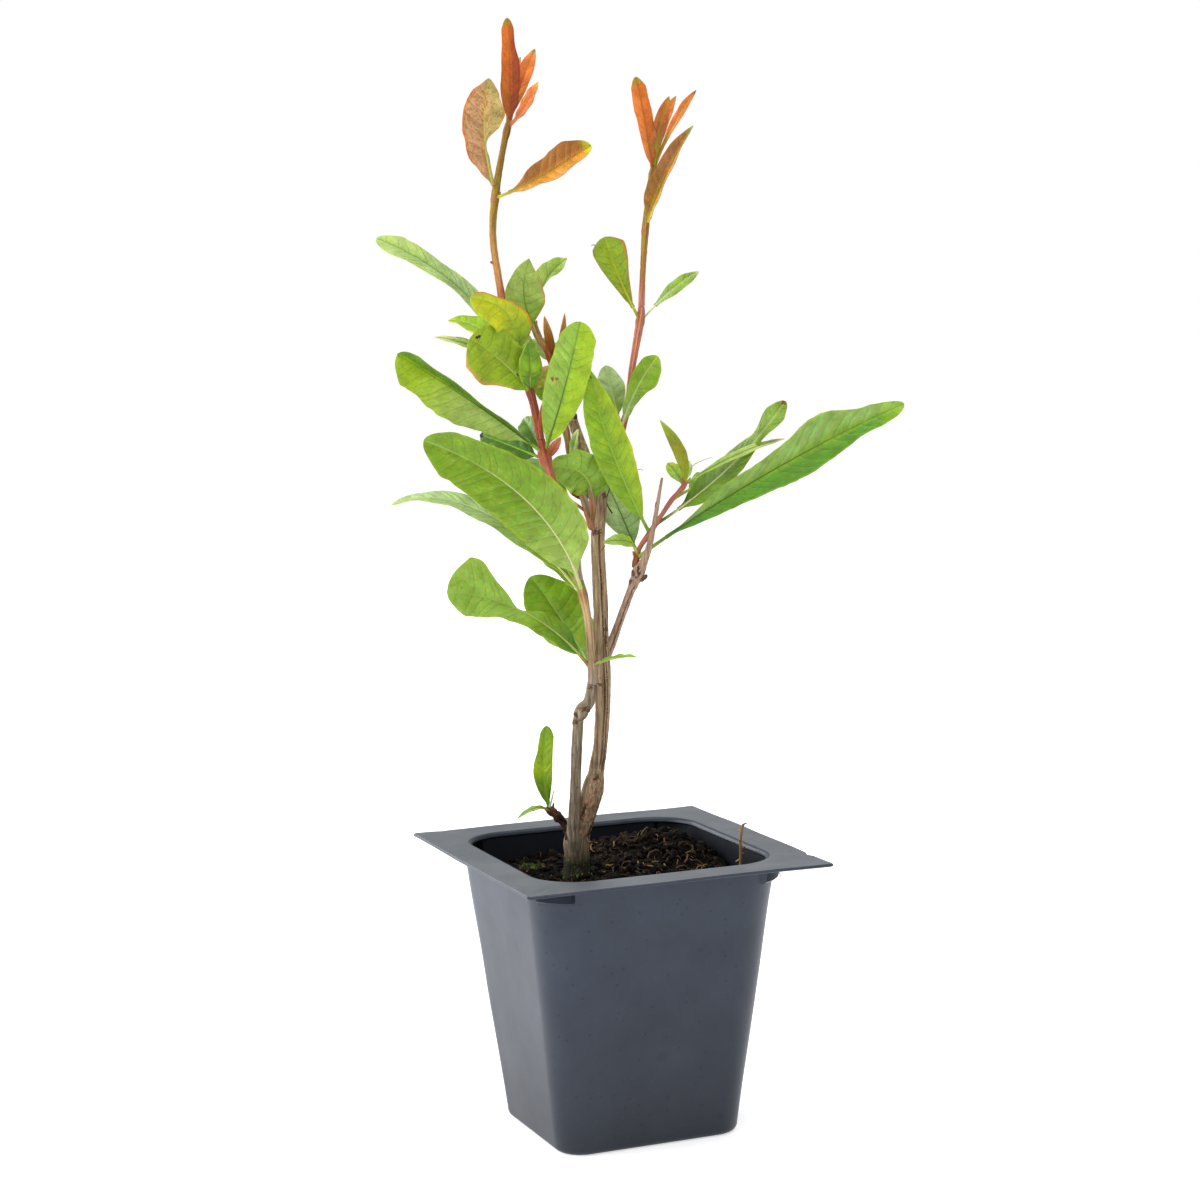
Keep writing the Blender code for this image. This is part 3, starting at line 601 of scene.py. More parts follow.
soil = dict(
    top=63.2, mound=6.5, moundPlace=(8.5, 20.0), moundReach=24.0, edgeDrop=0.9,
    clear=1.3,           # from the pot's outer side
    bottom=1.3, wallFrom=3.0, wallUnderTop=1.8, rings=44, relief=1.25,
    half=(30.0, 30.9), core=(19.5, 20.4), cornerReach=10.2,      # the pot's mouth and its round corners
    crumbs=2250, crumbSize=(0.35, 1.7),
    fibres=600, fibreLength=(1.6, 6.5), fibreRadius=(0.09, 0.27), fibreCorner=10.4, fibreRise=22.0,
    trunkPlace=(-8.6, 5.8), trunkClear=3.6,
    # tufts of moss: place, reach, blades and whether they climb the trunk's foot from how near
    moss=(((-15.5, 20.5), 2.9, 300, False), ((-8.6, 5.8), 4.6, 240, True)),
    climbWithin=3.5, climbRing=3.1,
    sprig=((28.0, -12.5, 62.8), (28.3, -13.0, 67.5), (27.7, -14.2, 72.5), (28.1, -15.0, 77.0)),
    crumbDark=("040303", "0b0807", "161009"), crumbBrown=("110c09", "21180f", "362819"),
    crumbPale=("2c231a", "4c3e2f", "77664e"),
)


def fromMound(x, y):
    mound = plantTurn @ Vector((*soil["moundPlace"], 0.0))
    return math.hypot(x - mound.x, y - mound.y)


def soilHeight(x, y):
    share = fromMound(x, y) / soil["moundReach"]
    return soil["top"] + soil["mound"] * max(1.0 - share * share, 0.0) ** 2


def soilRelief(x, y):
    rough = noise.fractal(Vector((x * 0.28, y * 0.28, 1.0)), 0.9, 2.1, 5)
    rough += 1.3 * noise.noise(Vector((x * 0.11, y * 0.11, 5.0)))
    fine = noise.fractal(Vector((x * 0.9, y * 0.9, 7.0)), 0.8, 2.2, 3)
    return soil["relief"] * (0.8 * rough + 0.35 * fine)


def pastCore(x, y):      # how far a spot is from the straight middle part of the mouth
    return Vector([max(abs(place) - core, 0.0) for place, core in zip((x, y), soil["core"])]).length


def onSoil(draw):      # a free spot on the soil
    while True:
        x, y = [draw.uniform(-half, half) for half in soil["half"]]
        fromTrunk = math.hypot(x - soil["trunkPlace"][0], y - soil["trunkPlace"][1])
        if pastCore(x, y) < soil["cornerReach"] and fromTrunk > soil["trunkClear"]:
            return x, y


def makeGround():
    peat = grainFinish("peat", ("010101", "060404", "120d0a", "2c2018"), 760.0, rough=(0.9, 1.0), relief=1.0,
                       gloss=0.08)
    clear, bottom, foot = soil["clear"], soil["bottom"], pot["footRounding"]
    rings = [bodyRing(bottom, inset=clear + foot), bodyRing(bottom + foot, inset=clear)]
    low, high = soil["wallFrom"], soil["top"] - soil["wallUnderTop"]
    rings += [bodyRing(mix(low, high, share / 4), inset=clear) for share in (1, 2, 3, 4)]
    edge = bodyRing(soil["top"], inset=clear)
    for i in range(soil["rings"]):
        share = 1.0 - i / soil["rings"]
        drop = 0.0 if i else soil["edgeDrop"]
        ring = []
        for point in edge:
            x, y = point.x * share, point.y * share
            ring.append(Vector((x, y, soilHeight(x, y) - drop + soilRelief(x, y) * ease(1.0, 0.96, share))))
        rings.append(ring)
    heap = Heap()
    loft(heap, rings, peat)
    heap.piece("soilGround", "soil", "soil", turned=False, sharp=60.0)


def roundLump():
    shape = bmesh.new()
    bmesh.ops.create_icosphere(shape, subdivisions=1, radius=1.0)
    points = [vert.co.copy() for vert in shape.verts]
    faces = [tuple(vert.index for vert in face.verts) for face in shape.faces]
    shape.free()
    return points, faces


def makeCrumbs():
    draw = random.Random("crumbs")
    kinds = ("crumbDark", "crumbBrown", "crumbPale")
    dark, brown, pale = [grainFinish(kind, soil[kind], 900.0, relief=0.9, gloss=0.08) for kind in kinds]
    points, faces = roundLump()
    heap = Heap()
    for number in range(soil["crumbs"]):
        x, y = onSoil(draw)
        size = mix(*soil["crumbSize"], draw.random() ** 2.4)
        stretch = Vector((draw.uniform(0.7, 1.5), draw.uniform(0.6, 1.1), draw.uniform(0.5, 0.95)))
        turn = Matrix.Rotation(draw.uniform(0, math.tau), 3, "Z")
        turn @= Matrix.Rotation(draw.uniform(-0.6, 0.6), 3, "X")
        middle = Vector((x, y, soilHeight(x, y) + soilRelief(x, y) + size * 0.25))
        seed = Vector((number * 3.1, 0.0, 0.0))
        lump = []
        for point in points:
            bulge = 1.0 + 0.45 * noise.noise(point * 1.3 + seed)
            lump.append(middle + turn @ (point * stretch) * (size * bulge))
        look = dark if draw.random() < 0.72 else brown if size > 0.7 or draw.random() < 0.8 else pale
        heap.add(lump, faces, look)
    heap.piece("soilCrumbs", "soil", turned=False, sharp=35.0)


def makeFibres():
    draw = random.Random("fibres")
    heap = Heap()
    for _ in range(soil["fibres"]):
        x, y = onSoil(draw)
        high = 1.0 - clamp(fromMound(x, y) / soil["fibreRise"])
        length = draw.uniform(*soil["fibreLength"])
        way = draw.uniform(0, math.tau)
        lift = draw.uniform(0.1, 0.9) * (1.0 + 2.0 * high * draw.random())
        bend = draw.uniform(-1.2, 1.2)
        spots = []
        for k in range(5):
            share = k / 4
            angle = way + bend * share
            spot = Vector((math.cos(angle), math.sin(angle), 0.0)) * (length * share * 0.8)
            spot += Vector((x, y, 0.0))
            if pastCore(spot.x, spot.y) > soil["fibreCorner"]:
                break
            base = soilHeight(spot.x, spot.y) + soilRelief(spot.x, spot.y) * 0.8
            spot.z = base + 0.15 + lift * math.sin(math.pi * share) + draw.uniform(-0.15, 0.25)
            spots.append(spot)
        if len(spots) < 3:
            continue
        tone = draw.choice(("black", "black", "spurBark", "fibreDark", "fibreDark", "fibreMid", "fibreLight"))
        finish = plainFinish(channels(tone), "twig")
        thread(heap, spots, draw.uniform(*soil["fibreRadius"]), finish, taper=0.5)
    heap.piece("soilFibres", "soil", turned=False)


def makeMoss():
    draw = random.Random("moss")
    heap = Heap()
    for (centreX, centreY), reach, count, climbing in soil["moss"]:
        for _ in range(count):
            angle, out = draw.uniform(0, math.tau), reach * math.sqrt(draw.random())
            x, y = centreX + out * math.cos(angle), centreY + out * math.sin(angle)
            climb = 0.0
            if climbing and out < soil["climbWithin"]:
                climb = draw.uniform(0.5, 7.0) * draw.random()
                ring = soil["climbRing"]
                x, y = centreX + ring * math.cos(angle), centreY + ring * math.sin(angle)
            foot = Vector((x, y, soilHeight(x, y) + soilRelief(x, y) * 0.8 + climb))
            lean = Vector((draw.uniform(-0.5, 0.5), draw.uniform(-0.5, 0.5), 1.0)) * draw.uniform(0.5, 1.5)
            tone = blend(channels("mossGreen"), channels("mossLight"), draw.random() ** 2.4)
            path = [(foot, 0.14), (foot + lean * 0.6, 0.22), (foot + lean, 0.05)]
            tube(heap, path, 4, plainFinish(tone, "leaf"))
    heap.piece("mossTufts", "soil", turned=False)


def makeSprig():
    draw = random.Random("sprig")
    heap = Heap()
    look = plainFinish(channels("sprigBrown"), "twig")
    pale = plainFinish(channels("fibrePale"), "twig")
    spots = [Vector(spot) for spot in soil["sprig"]]
    thread(heap, spots, 0.46, look, sides=7, taper=0.6)
    for k in range(11):
        place = (k + 0.5) / 11 * 3
        low = min(int(place), 2)
        start = spots[low].lerp(spots[low + 1], place % 1.0)
        way = Vector((draw.uniform(-1, 1), draw.uniform(-1, 1), draw.uniform(-0.2, 1.0))).normalized()
        bend = start + way * 0.6 + Vector((0.0, 0.0, 0.3))
        thread(heap, [start, bend, start + way * draw.uniform(0.9, 1.8)], 0.34, look if k % 3 else pale)
    heap.piece("drySprig", "soil", turned=False)


makeGround()
makeCrumbs()
makeFibres()
makeMoss()
makeSprig()
print("soil made")


# trunk and boughs: across, away, up and radius at each bend, from the soil upwards

limbs = dict(
    trunk=(
        (-10.2, 2.0, 63.5, 3.7), (-10.1, 2.0, 66.5, 3.2), (-9.8, 1.8, 72.0, 3.0), (-8.6, 1.0, 77.5, 2.9),
        (-6.5, 0.0, 83.0, 2.5), (-5.4, 0.0, 87.0, 2.5), (-4.6, 0.0, 91.0, 1.9), (-3.4, 0.0, 98.5, 1.75),
        (-2.7, 0.0, 111.0, 1.9), (-2.8, 0.0, 121.0, 1.9), (-3.0, 0.0, 134.0, 1.75), (-3.3, 0.0, 148.5, 1.65),
        (-2.6, 0.5, 157.5, 1.6), (-3.2, 1.6, 163.0, 1.5), (-5.8, 3.4, 168.5, 1.45), (-9.0, 6.0, 178.0, 1.2),
    ),
    left_stem=(
        (-10.2, 1.0, 69.5, 2.3), (-10.5, 0.0, 73.0, 2.1), (-10.6, -0.9, 76.5, 1.7),
        (-10.4, -1.6, 80.5, 1.45), (-9.8, -2.0, 91.3, 1.3), (-9.1, -3.0, 102.8, 1.35),
        (-8.2, -3.6, 106.3, 1.7), (-6.3, -4.0, 108.9, 1.35), (-5.4, -4.5, 113.2, 1.3),
    ),
    right_bough=(
        (-2.9, 0.8, 114.0, 1.2), (-2.6, 1.0, 117.5, 1.3), (-0.5, 1.0, 122.2, 1.2), (1.9, 1.0, 128.5, 1.1),
        (4.5, 0.0, 135.6, 1.1), (6.6, -1.0, 140.4, 1.5), (8.9, -2.8, 145.4, 0.85), (10.9, -3.6, 153.7, 0.6),
        (12.8, -4.5, 164.1, 0.42),
    ),
)
# height, turn from the show side, bulge, how tall, how wide, and the finish that shows there
barkMarks = dict(
    trunk=(
        (84.3, 5, 0.45, 2.6, 2.4, None), (85.4, 2, -0.25, 0.3, 1.6, None),
        (82.6, -10, -0.3, 0.25, 1.3, None), (88.9, 4, -0.6, 0.9, 0.75, "scar"),
        (90.8, 4, 0.4, 0.8, 1.2, None), (87.2, 4, 0.45, 0.6, 1.2, None), (80.4, -22, -0.6, 2.2, 0.4, "scar"),
        (78.6, 18, -0.35, 0.3, 1.2, None), (75.4, 62, -0.7, 3.0, 0.6, "fissure"),
        (74.6, 50, -0.3, 0.9, 1.0, None), (123.6, 42, -0.5, 2.0, 0.6, "scar"),
        (126.4, 38, 0.35, 0.6, 0.8, "scar"), (112.6, -25, 0.3, 0.4, 1.9, "scar"),
        (114.6, -20, 0.28, 0.4, 1.6, None), (100.0, 140, -0.4, 2.4, 0.7, "scar"),
        (132.0, 170, 0.4, 1.6, 1.0, None), (140.5, -150, -0.35, 3.0, 0.4, "scar"),
        (150.6, -20, 0.35, 1.0, 1.6, "scar"), (152.8, 20, 0.3, 0.8, 1.2, None),
        (72.0, -60, 0.7, 2.0, 1.6, None), (90.0, 190, -0.5, 2.4, 0.6, "scar"),
        (159.5, 40, 0.35, 1.0, 0.9, "scar"), (166.0, -10, -0.3, 3.0, 0.4, "scar"),
    ),
    left_stem=(
        (103.6, -40, 0.5, 1.0, 1.0, "scar"), (105.8, 30, 0.6, 1.2, 1.1, None),
        (107.2, -10, 0.45, 0.8, 1.1, "scar"), (104.9, 80, -0.4, 0.7, 0.6, "scar"),
        (108.8, 50, 0.35, 0.8, 0.9, None), (94.5, -70, -0.15, 0.8, 0.3, "scar"),
        (89.0, -50, -0.15, 0.6, 0.3, "scar"), (84.5, -75, -0.15, 0.9, 0.3, "scar"),
        (98.2, -30, -0.15, 0.5, 0.25, "scar"), (92.0, -10, -0.12, 0.4, 0.25, "scar"),
        (86.8, 20, -0.12, 0.5, 0.25, "scar"), (96.0, 160, -0.2, 2.5, 0.3, "scar"),
        (112.4, -20, 0.22, 0.5, 1.3, "scar"),
    ),
    right_bough=(
        (138.2, -40, 0.5, 0.8, 0.9, "scar"), (139.8, 70, 0.5, 0.9, 0.9, "scar"),
        (141.0, -60, 0.45, 0.8, 0.8, None), (140.2, 0, -0.35, 0.9, 0.5, "scar"),
        (137.2, 40, 0.3, 0.6, 0.9, None), (128.0, 20, -0.1, 1.2, 0.2, "scar"),
        (149.0, 60, 0.2, 0.8, 0.6, None), (157.5, -50, 0.2, 0.8, 0.5, "scar"),
    ),
)
barkStyle = dict(
    trunk=dict(
        colours=("57432f", "806a51", "a08a6c", "bba583"), moss=(67.0, 73.8, "mossDark", 0.97),
        sides=84, ribs=3, fibre=0.20, flaky=(75.5, 88.0, 30.0, 75.0),
        grooves=((14, 93, 150), (40, 92, 128), (-58, 96, 146), (150, 70, 150), (-130, 80, 140)),
    ),
    left_stem=dict(
        colours=("4c4334", "6f6351", "897c68", "a3967f"), moss=(68.0, 74.0, "mossDark", 0.4),
        sides=56, ribs=2, fibre=0.13, grooves=((-60, 80, 100), (110, 80, 103)),
    ),
    right_bough=dict(
        colours=("755c4c", "93765f", "a68c7a", "b9a598"), moss=None,
        sides=48, ribs=2, fibre=0.10, grooves=((10, 119, 136), (-120, 119, 136), (80, 143, 163)),
    ),
)
wood = dict(
    step=0.32, ridge=0.03, grooveDeep=0.42, grooveWide=0.30, grooveEnds=4.0, flakeHigh=0.5, flakeShows=0.10,
    lookRadius=1.8,      # the radius at which finishes are dealt out
)
# colours, grain, stretch along the limb, roughness, relief and shine of what shows in the bark
woodLooks = dict(
    scar=(("3f2c20", "5d4432", "7c5f48"), 1300.0, 0.4, (0.8, 0.95), 0.9, 0.2),
    flake=(("6a4c38", "8d6c54", "b19276"), 1100.0, 0.5, (0.8, 0.95), 0.9, 0.2),
    fissure=(("3c1a12", "5c2a1c", "74402c"), 900.0, 0.4, (0.7, 0.9), 0.8, 0.5),
    groove=(("4a3624", "5f4a36", "705a45"), 1500.0, 0.1, (0.8, 0.95), 0.8, 0.2),
)
# short horns and snags that stand out of a limb: start, bend, end and radius
barkHorns = dict(
    trunk=(
        ((-9.0, 6.0, 177.4), (-9.8, 6.5, 179.6), (-9.6, 6.7, 180.6), 0.75),
        ((-8.6, 6.2, 177.2), (-8.2, 6.4, 179.0), (-8.5, 6.6, 179.8), 0.55),
    ),
    left_stem=(
        ((-8.8, -4.2, 104.6), (-9.5, -4.6, 105.5), (-9.8, -4.8, 106.2), 0.6),
        ((-6.9, -4.6, 107.2), (-6.5, -5.3, 106.8), (-6.4, -5.6, 106.4), 0.5),
    ),
    right_bough=(
        ((6.0, -1.6, 139.4), (5.4, -2.0, 140.4), (5.1, -2.2, 141.2), 0.55),
        ((7.2, -1.6, 138.8), (8.1, -1.9, 139.3), (8.6, -2.0, 140.0), 0.6),
        ((6.6, -2.0, 140.6), (6.5, -2.5, 141.5), (6.8, -2.7, 142.3), 0.5),
        ((5.9, 0.0, 137.8), (5.2, 0.3, 138.1), (4.8, 0.4, 138.0), 0.4),
    ),
)


def offTurn(turn, middle):      # degrees between two turns
    return abs((turn - middle + 180.0) % 360.0 - 180.0)


def onStem(turn, radius, height):      # a spot on a round stem
    angle = math.radians(turn)
    return Vector((math.sin(angle) * radius, math.cos(angle) * radius, height))


def markReach(mark, height, turn, radius):      # how strongly a mark shows at a spot
    up, middle, _, tall, wide, _ = mark
    if abs(height - up) > 2.4 * tall:
        return 0.0
    off = math.radians(offTurn(turn, middle))
    return math.exp(-((height - up) / tall) ** 2 - (off * radius / wide) ** 2)


def grooveReach(groove, height, turn, radius):      # the dark lines between the strands of the wood
    middle, low, high = groove
    wander = middle + 7.0 * noise.noise(Vector((middle, 0.0, height * 0.09)))
    off = math.radians(offTurn(turn, wander))
    return math.exp(-(off * radius / wood["grooveWide"]) ** 2) * around(low, high, height, wood["grooveEnds"])


def flakeReach(style, height, turn):      # old bark lifts in flakes: middle turn and half width in degrees
    if "flaky" not in style:
        return 0.0
    low, high, middle, wide = style["flaky"]
    fade = 1.0 - ease(0.6 * wide, wide, offTurn(turn, middle))
    return around(low, high, height, 1.6) * fade * noise.noise(onStem(turn, 2.6, height * 0.62))


def barkRelief(name):
    style = barkStyle[name]

    def relief(height, turn, radius):
        strand = style["ribs"] * math.radians(turn) + height * 0.05
        out = wood["ridge"] * radius * math.cos(strand)
        out += style["fibre"] * noise.fractal(onStem(turn, radius * 1.5, height * 0.10), 0.8, 2.1, 4)
        out += 0.30 * style["fibre"] * noise.fractal(onStem(turn, radius * 3.6, height * 0.9), 0.8, 2.1, 3)
        for groove in style["grooves"]:
            out -= wood["grooveDeep"] * grooveReach(groove, height, turn, radius)
        out += wood["flakeHigh"] * flakeReach(style, height, turn)
        for mark in barkMarks[name]:
            out += mark[2] * markReach(mark, height, turn, radius)
        return out
    return relief


def makeLimb(name):
    style = barkStyle[name]
    looks = {
        None: grainFinish(name + "Bark", style["colours"], 1500.0, (1, 1, 0.07), (0.75, 0.95), 0.8,
                          height=style["moss"], spots=((700.0, 0.16, "nodeBrown", 0.7),), gloss=0.25),
    }
    for kind, (colours, grain, stretch, rough, relief, gloss) in woodLooks.items():
        finishName = name + kind.capitalize()
        looks[kind] = grainFinish(finishName, colours, grain, (1, 1, stretch), rough, relief, gloss=gloss)

    def look(height, turn):
        radius = wood["lookRadius"]
        ragged = 0.55 + 0.6 * noise.noise(Vector((math.radians(turn) * 3.4, height * 2.6, 4.0)))
        for mark in barkMarks[name]:
            if mark[5] and markReach(mark, height, turn, radius) > ragged:
                return looks[mark[5]]
        if flakeReach(style, height, turn) > wood["flakeShows"] * ragged:
            return looks["flake"]
        for groove in style["grooves"][:2]:
            if grooveReach(groove, height, turn, radius) > 0.45 + 0.35 * ragged:
                return looks["groove"]
        return looks[None]
    heap = Heap()
    path = smoothPath(limbs[name], wood["step"])
    tube(heap, path, style["sides"], look, barkRelief(name), tip=0.35, level=name == "trunk")
    for start, bend, end, radius in barkHorns[name]:
        knots = [(*start, radius), (*bend, radius * 0.85), (*end, radius * 0.45)]
        rough = random.Random(str(start)).uniform(0, 50)

        def knobby(height, turn, size):
            return 0.3 * noise.noise(Vector((turn * 0.02, rough, height * 1.4)))
        tube(heap, smoothPath(knots, 0.3), 16, looks["scar"] if radius < 0.7 else looks[None], knobby)
    heap.piece(name + "Wood", "bark", name)


for limbName in limbs:
    makeLimb(limbName)
print("trunk and boughs made")


# foliage: each mass has a stem and leaves that leave it at a height

def leaf(at, reach, width, face, look, **more):
    # from the stem's middle to the tip, blade width, the way the upper side looks, tones from base to tip
    return dict(at=at, reach=reach, width=width, face=face, tones=look.split(), **more)


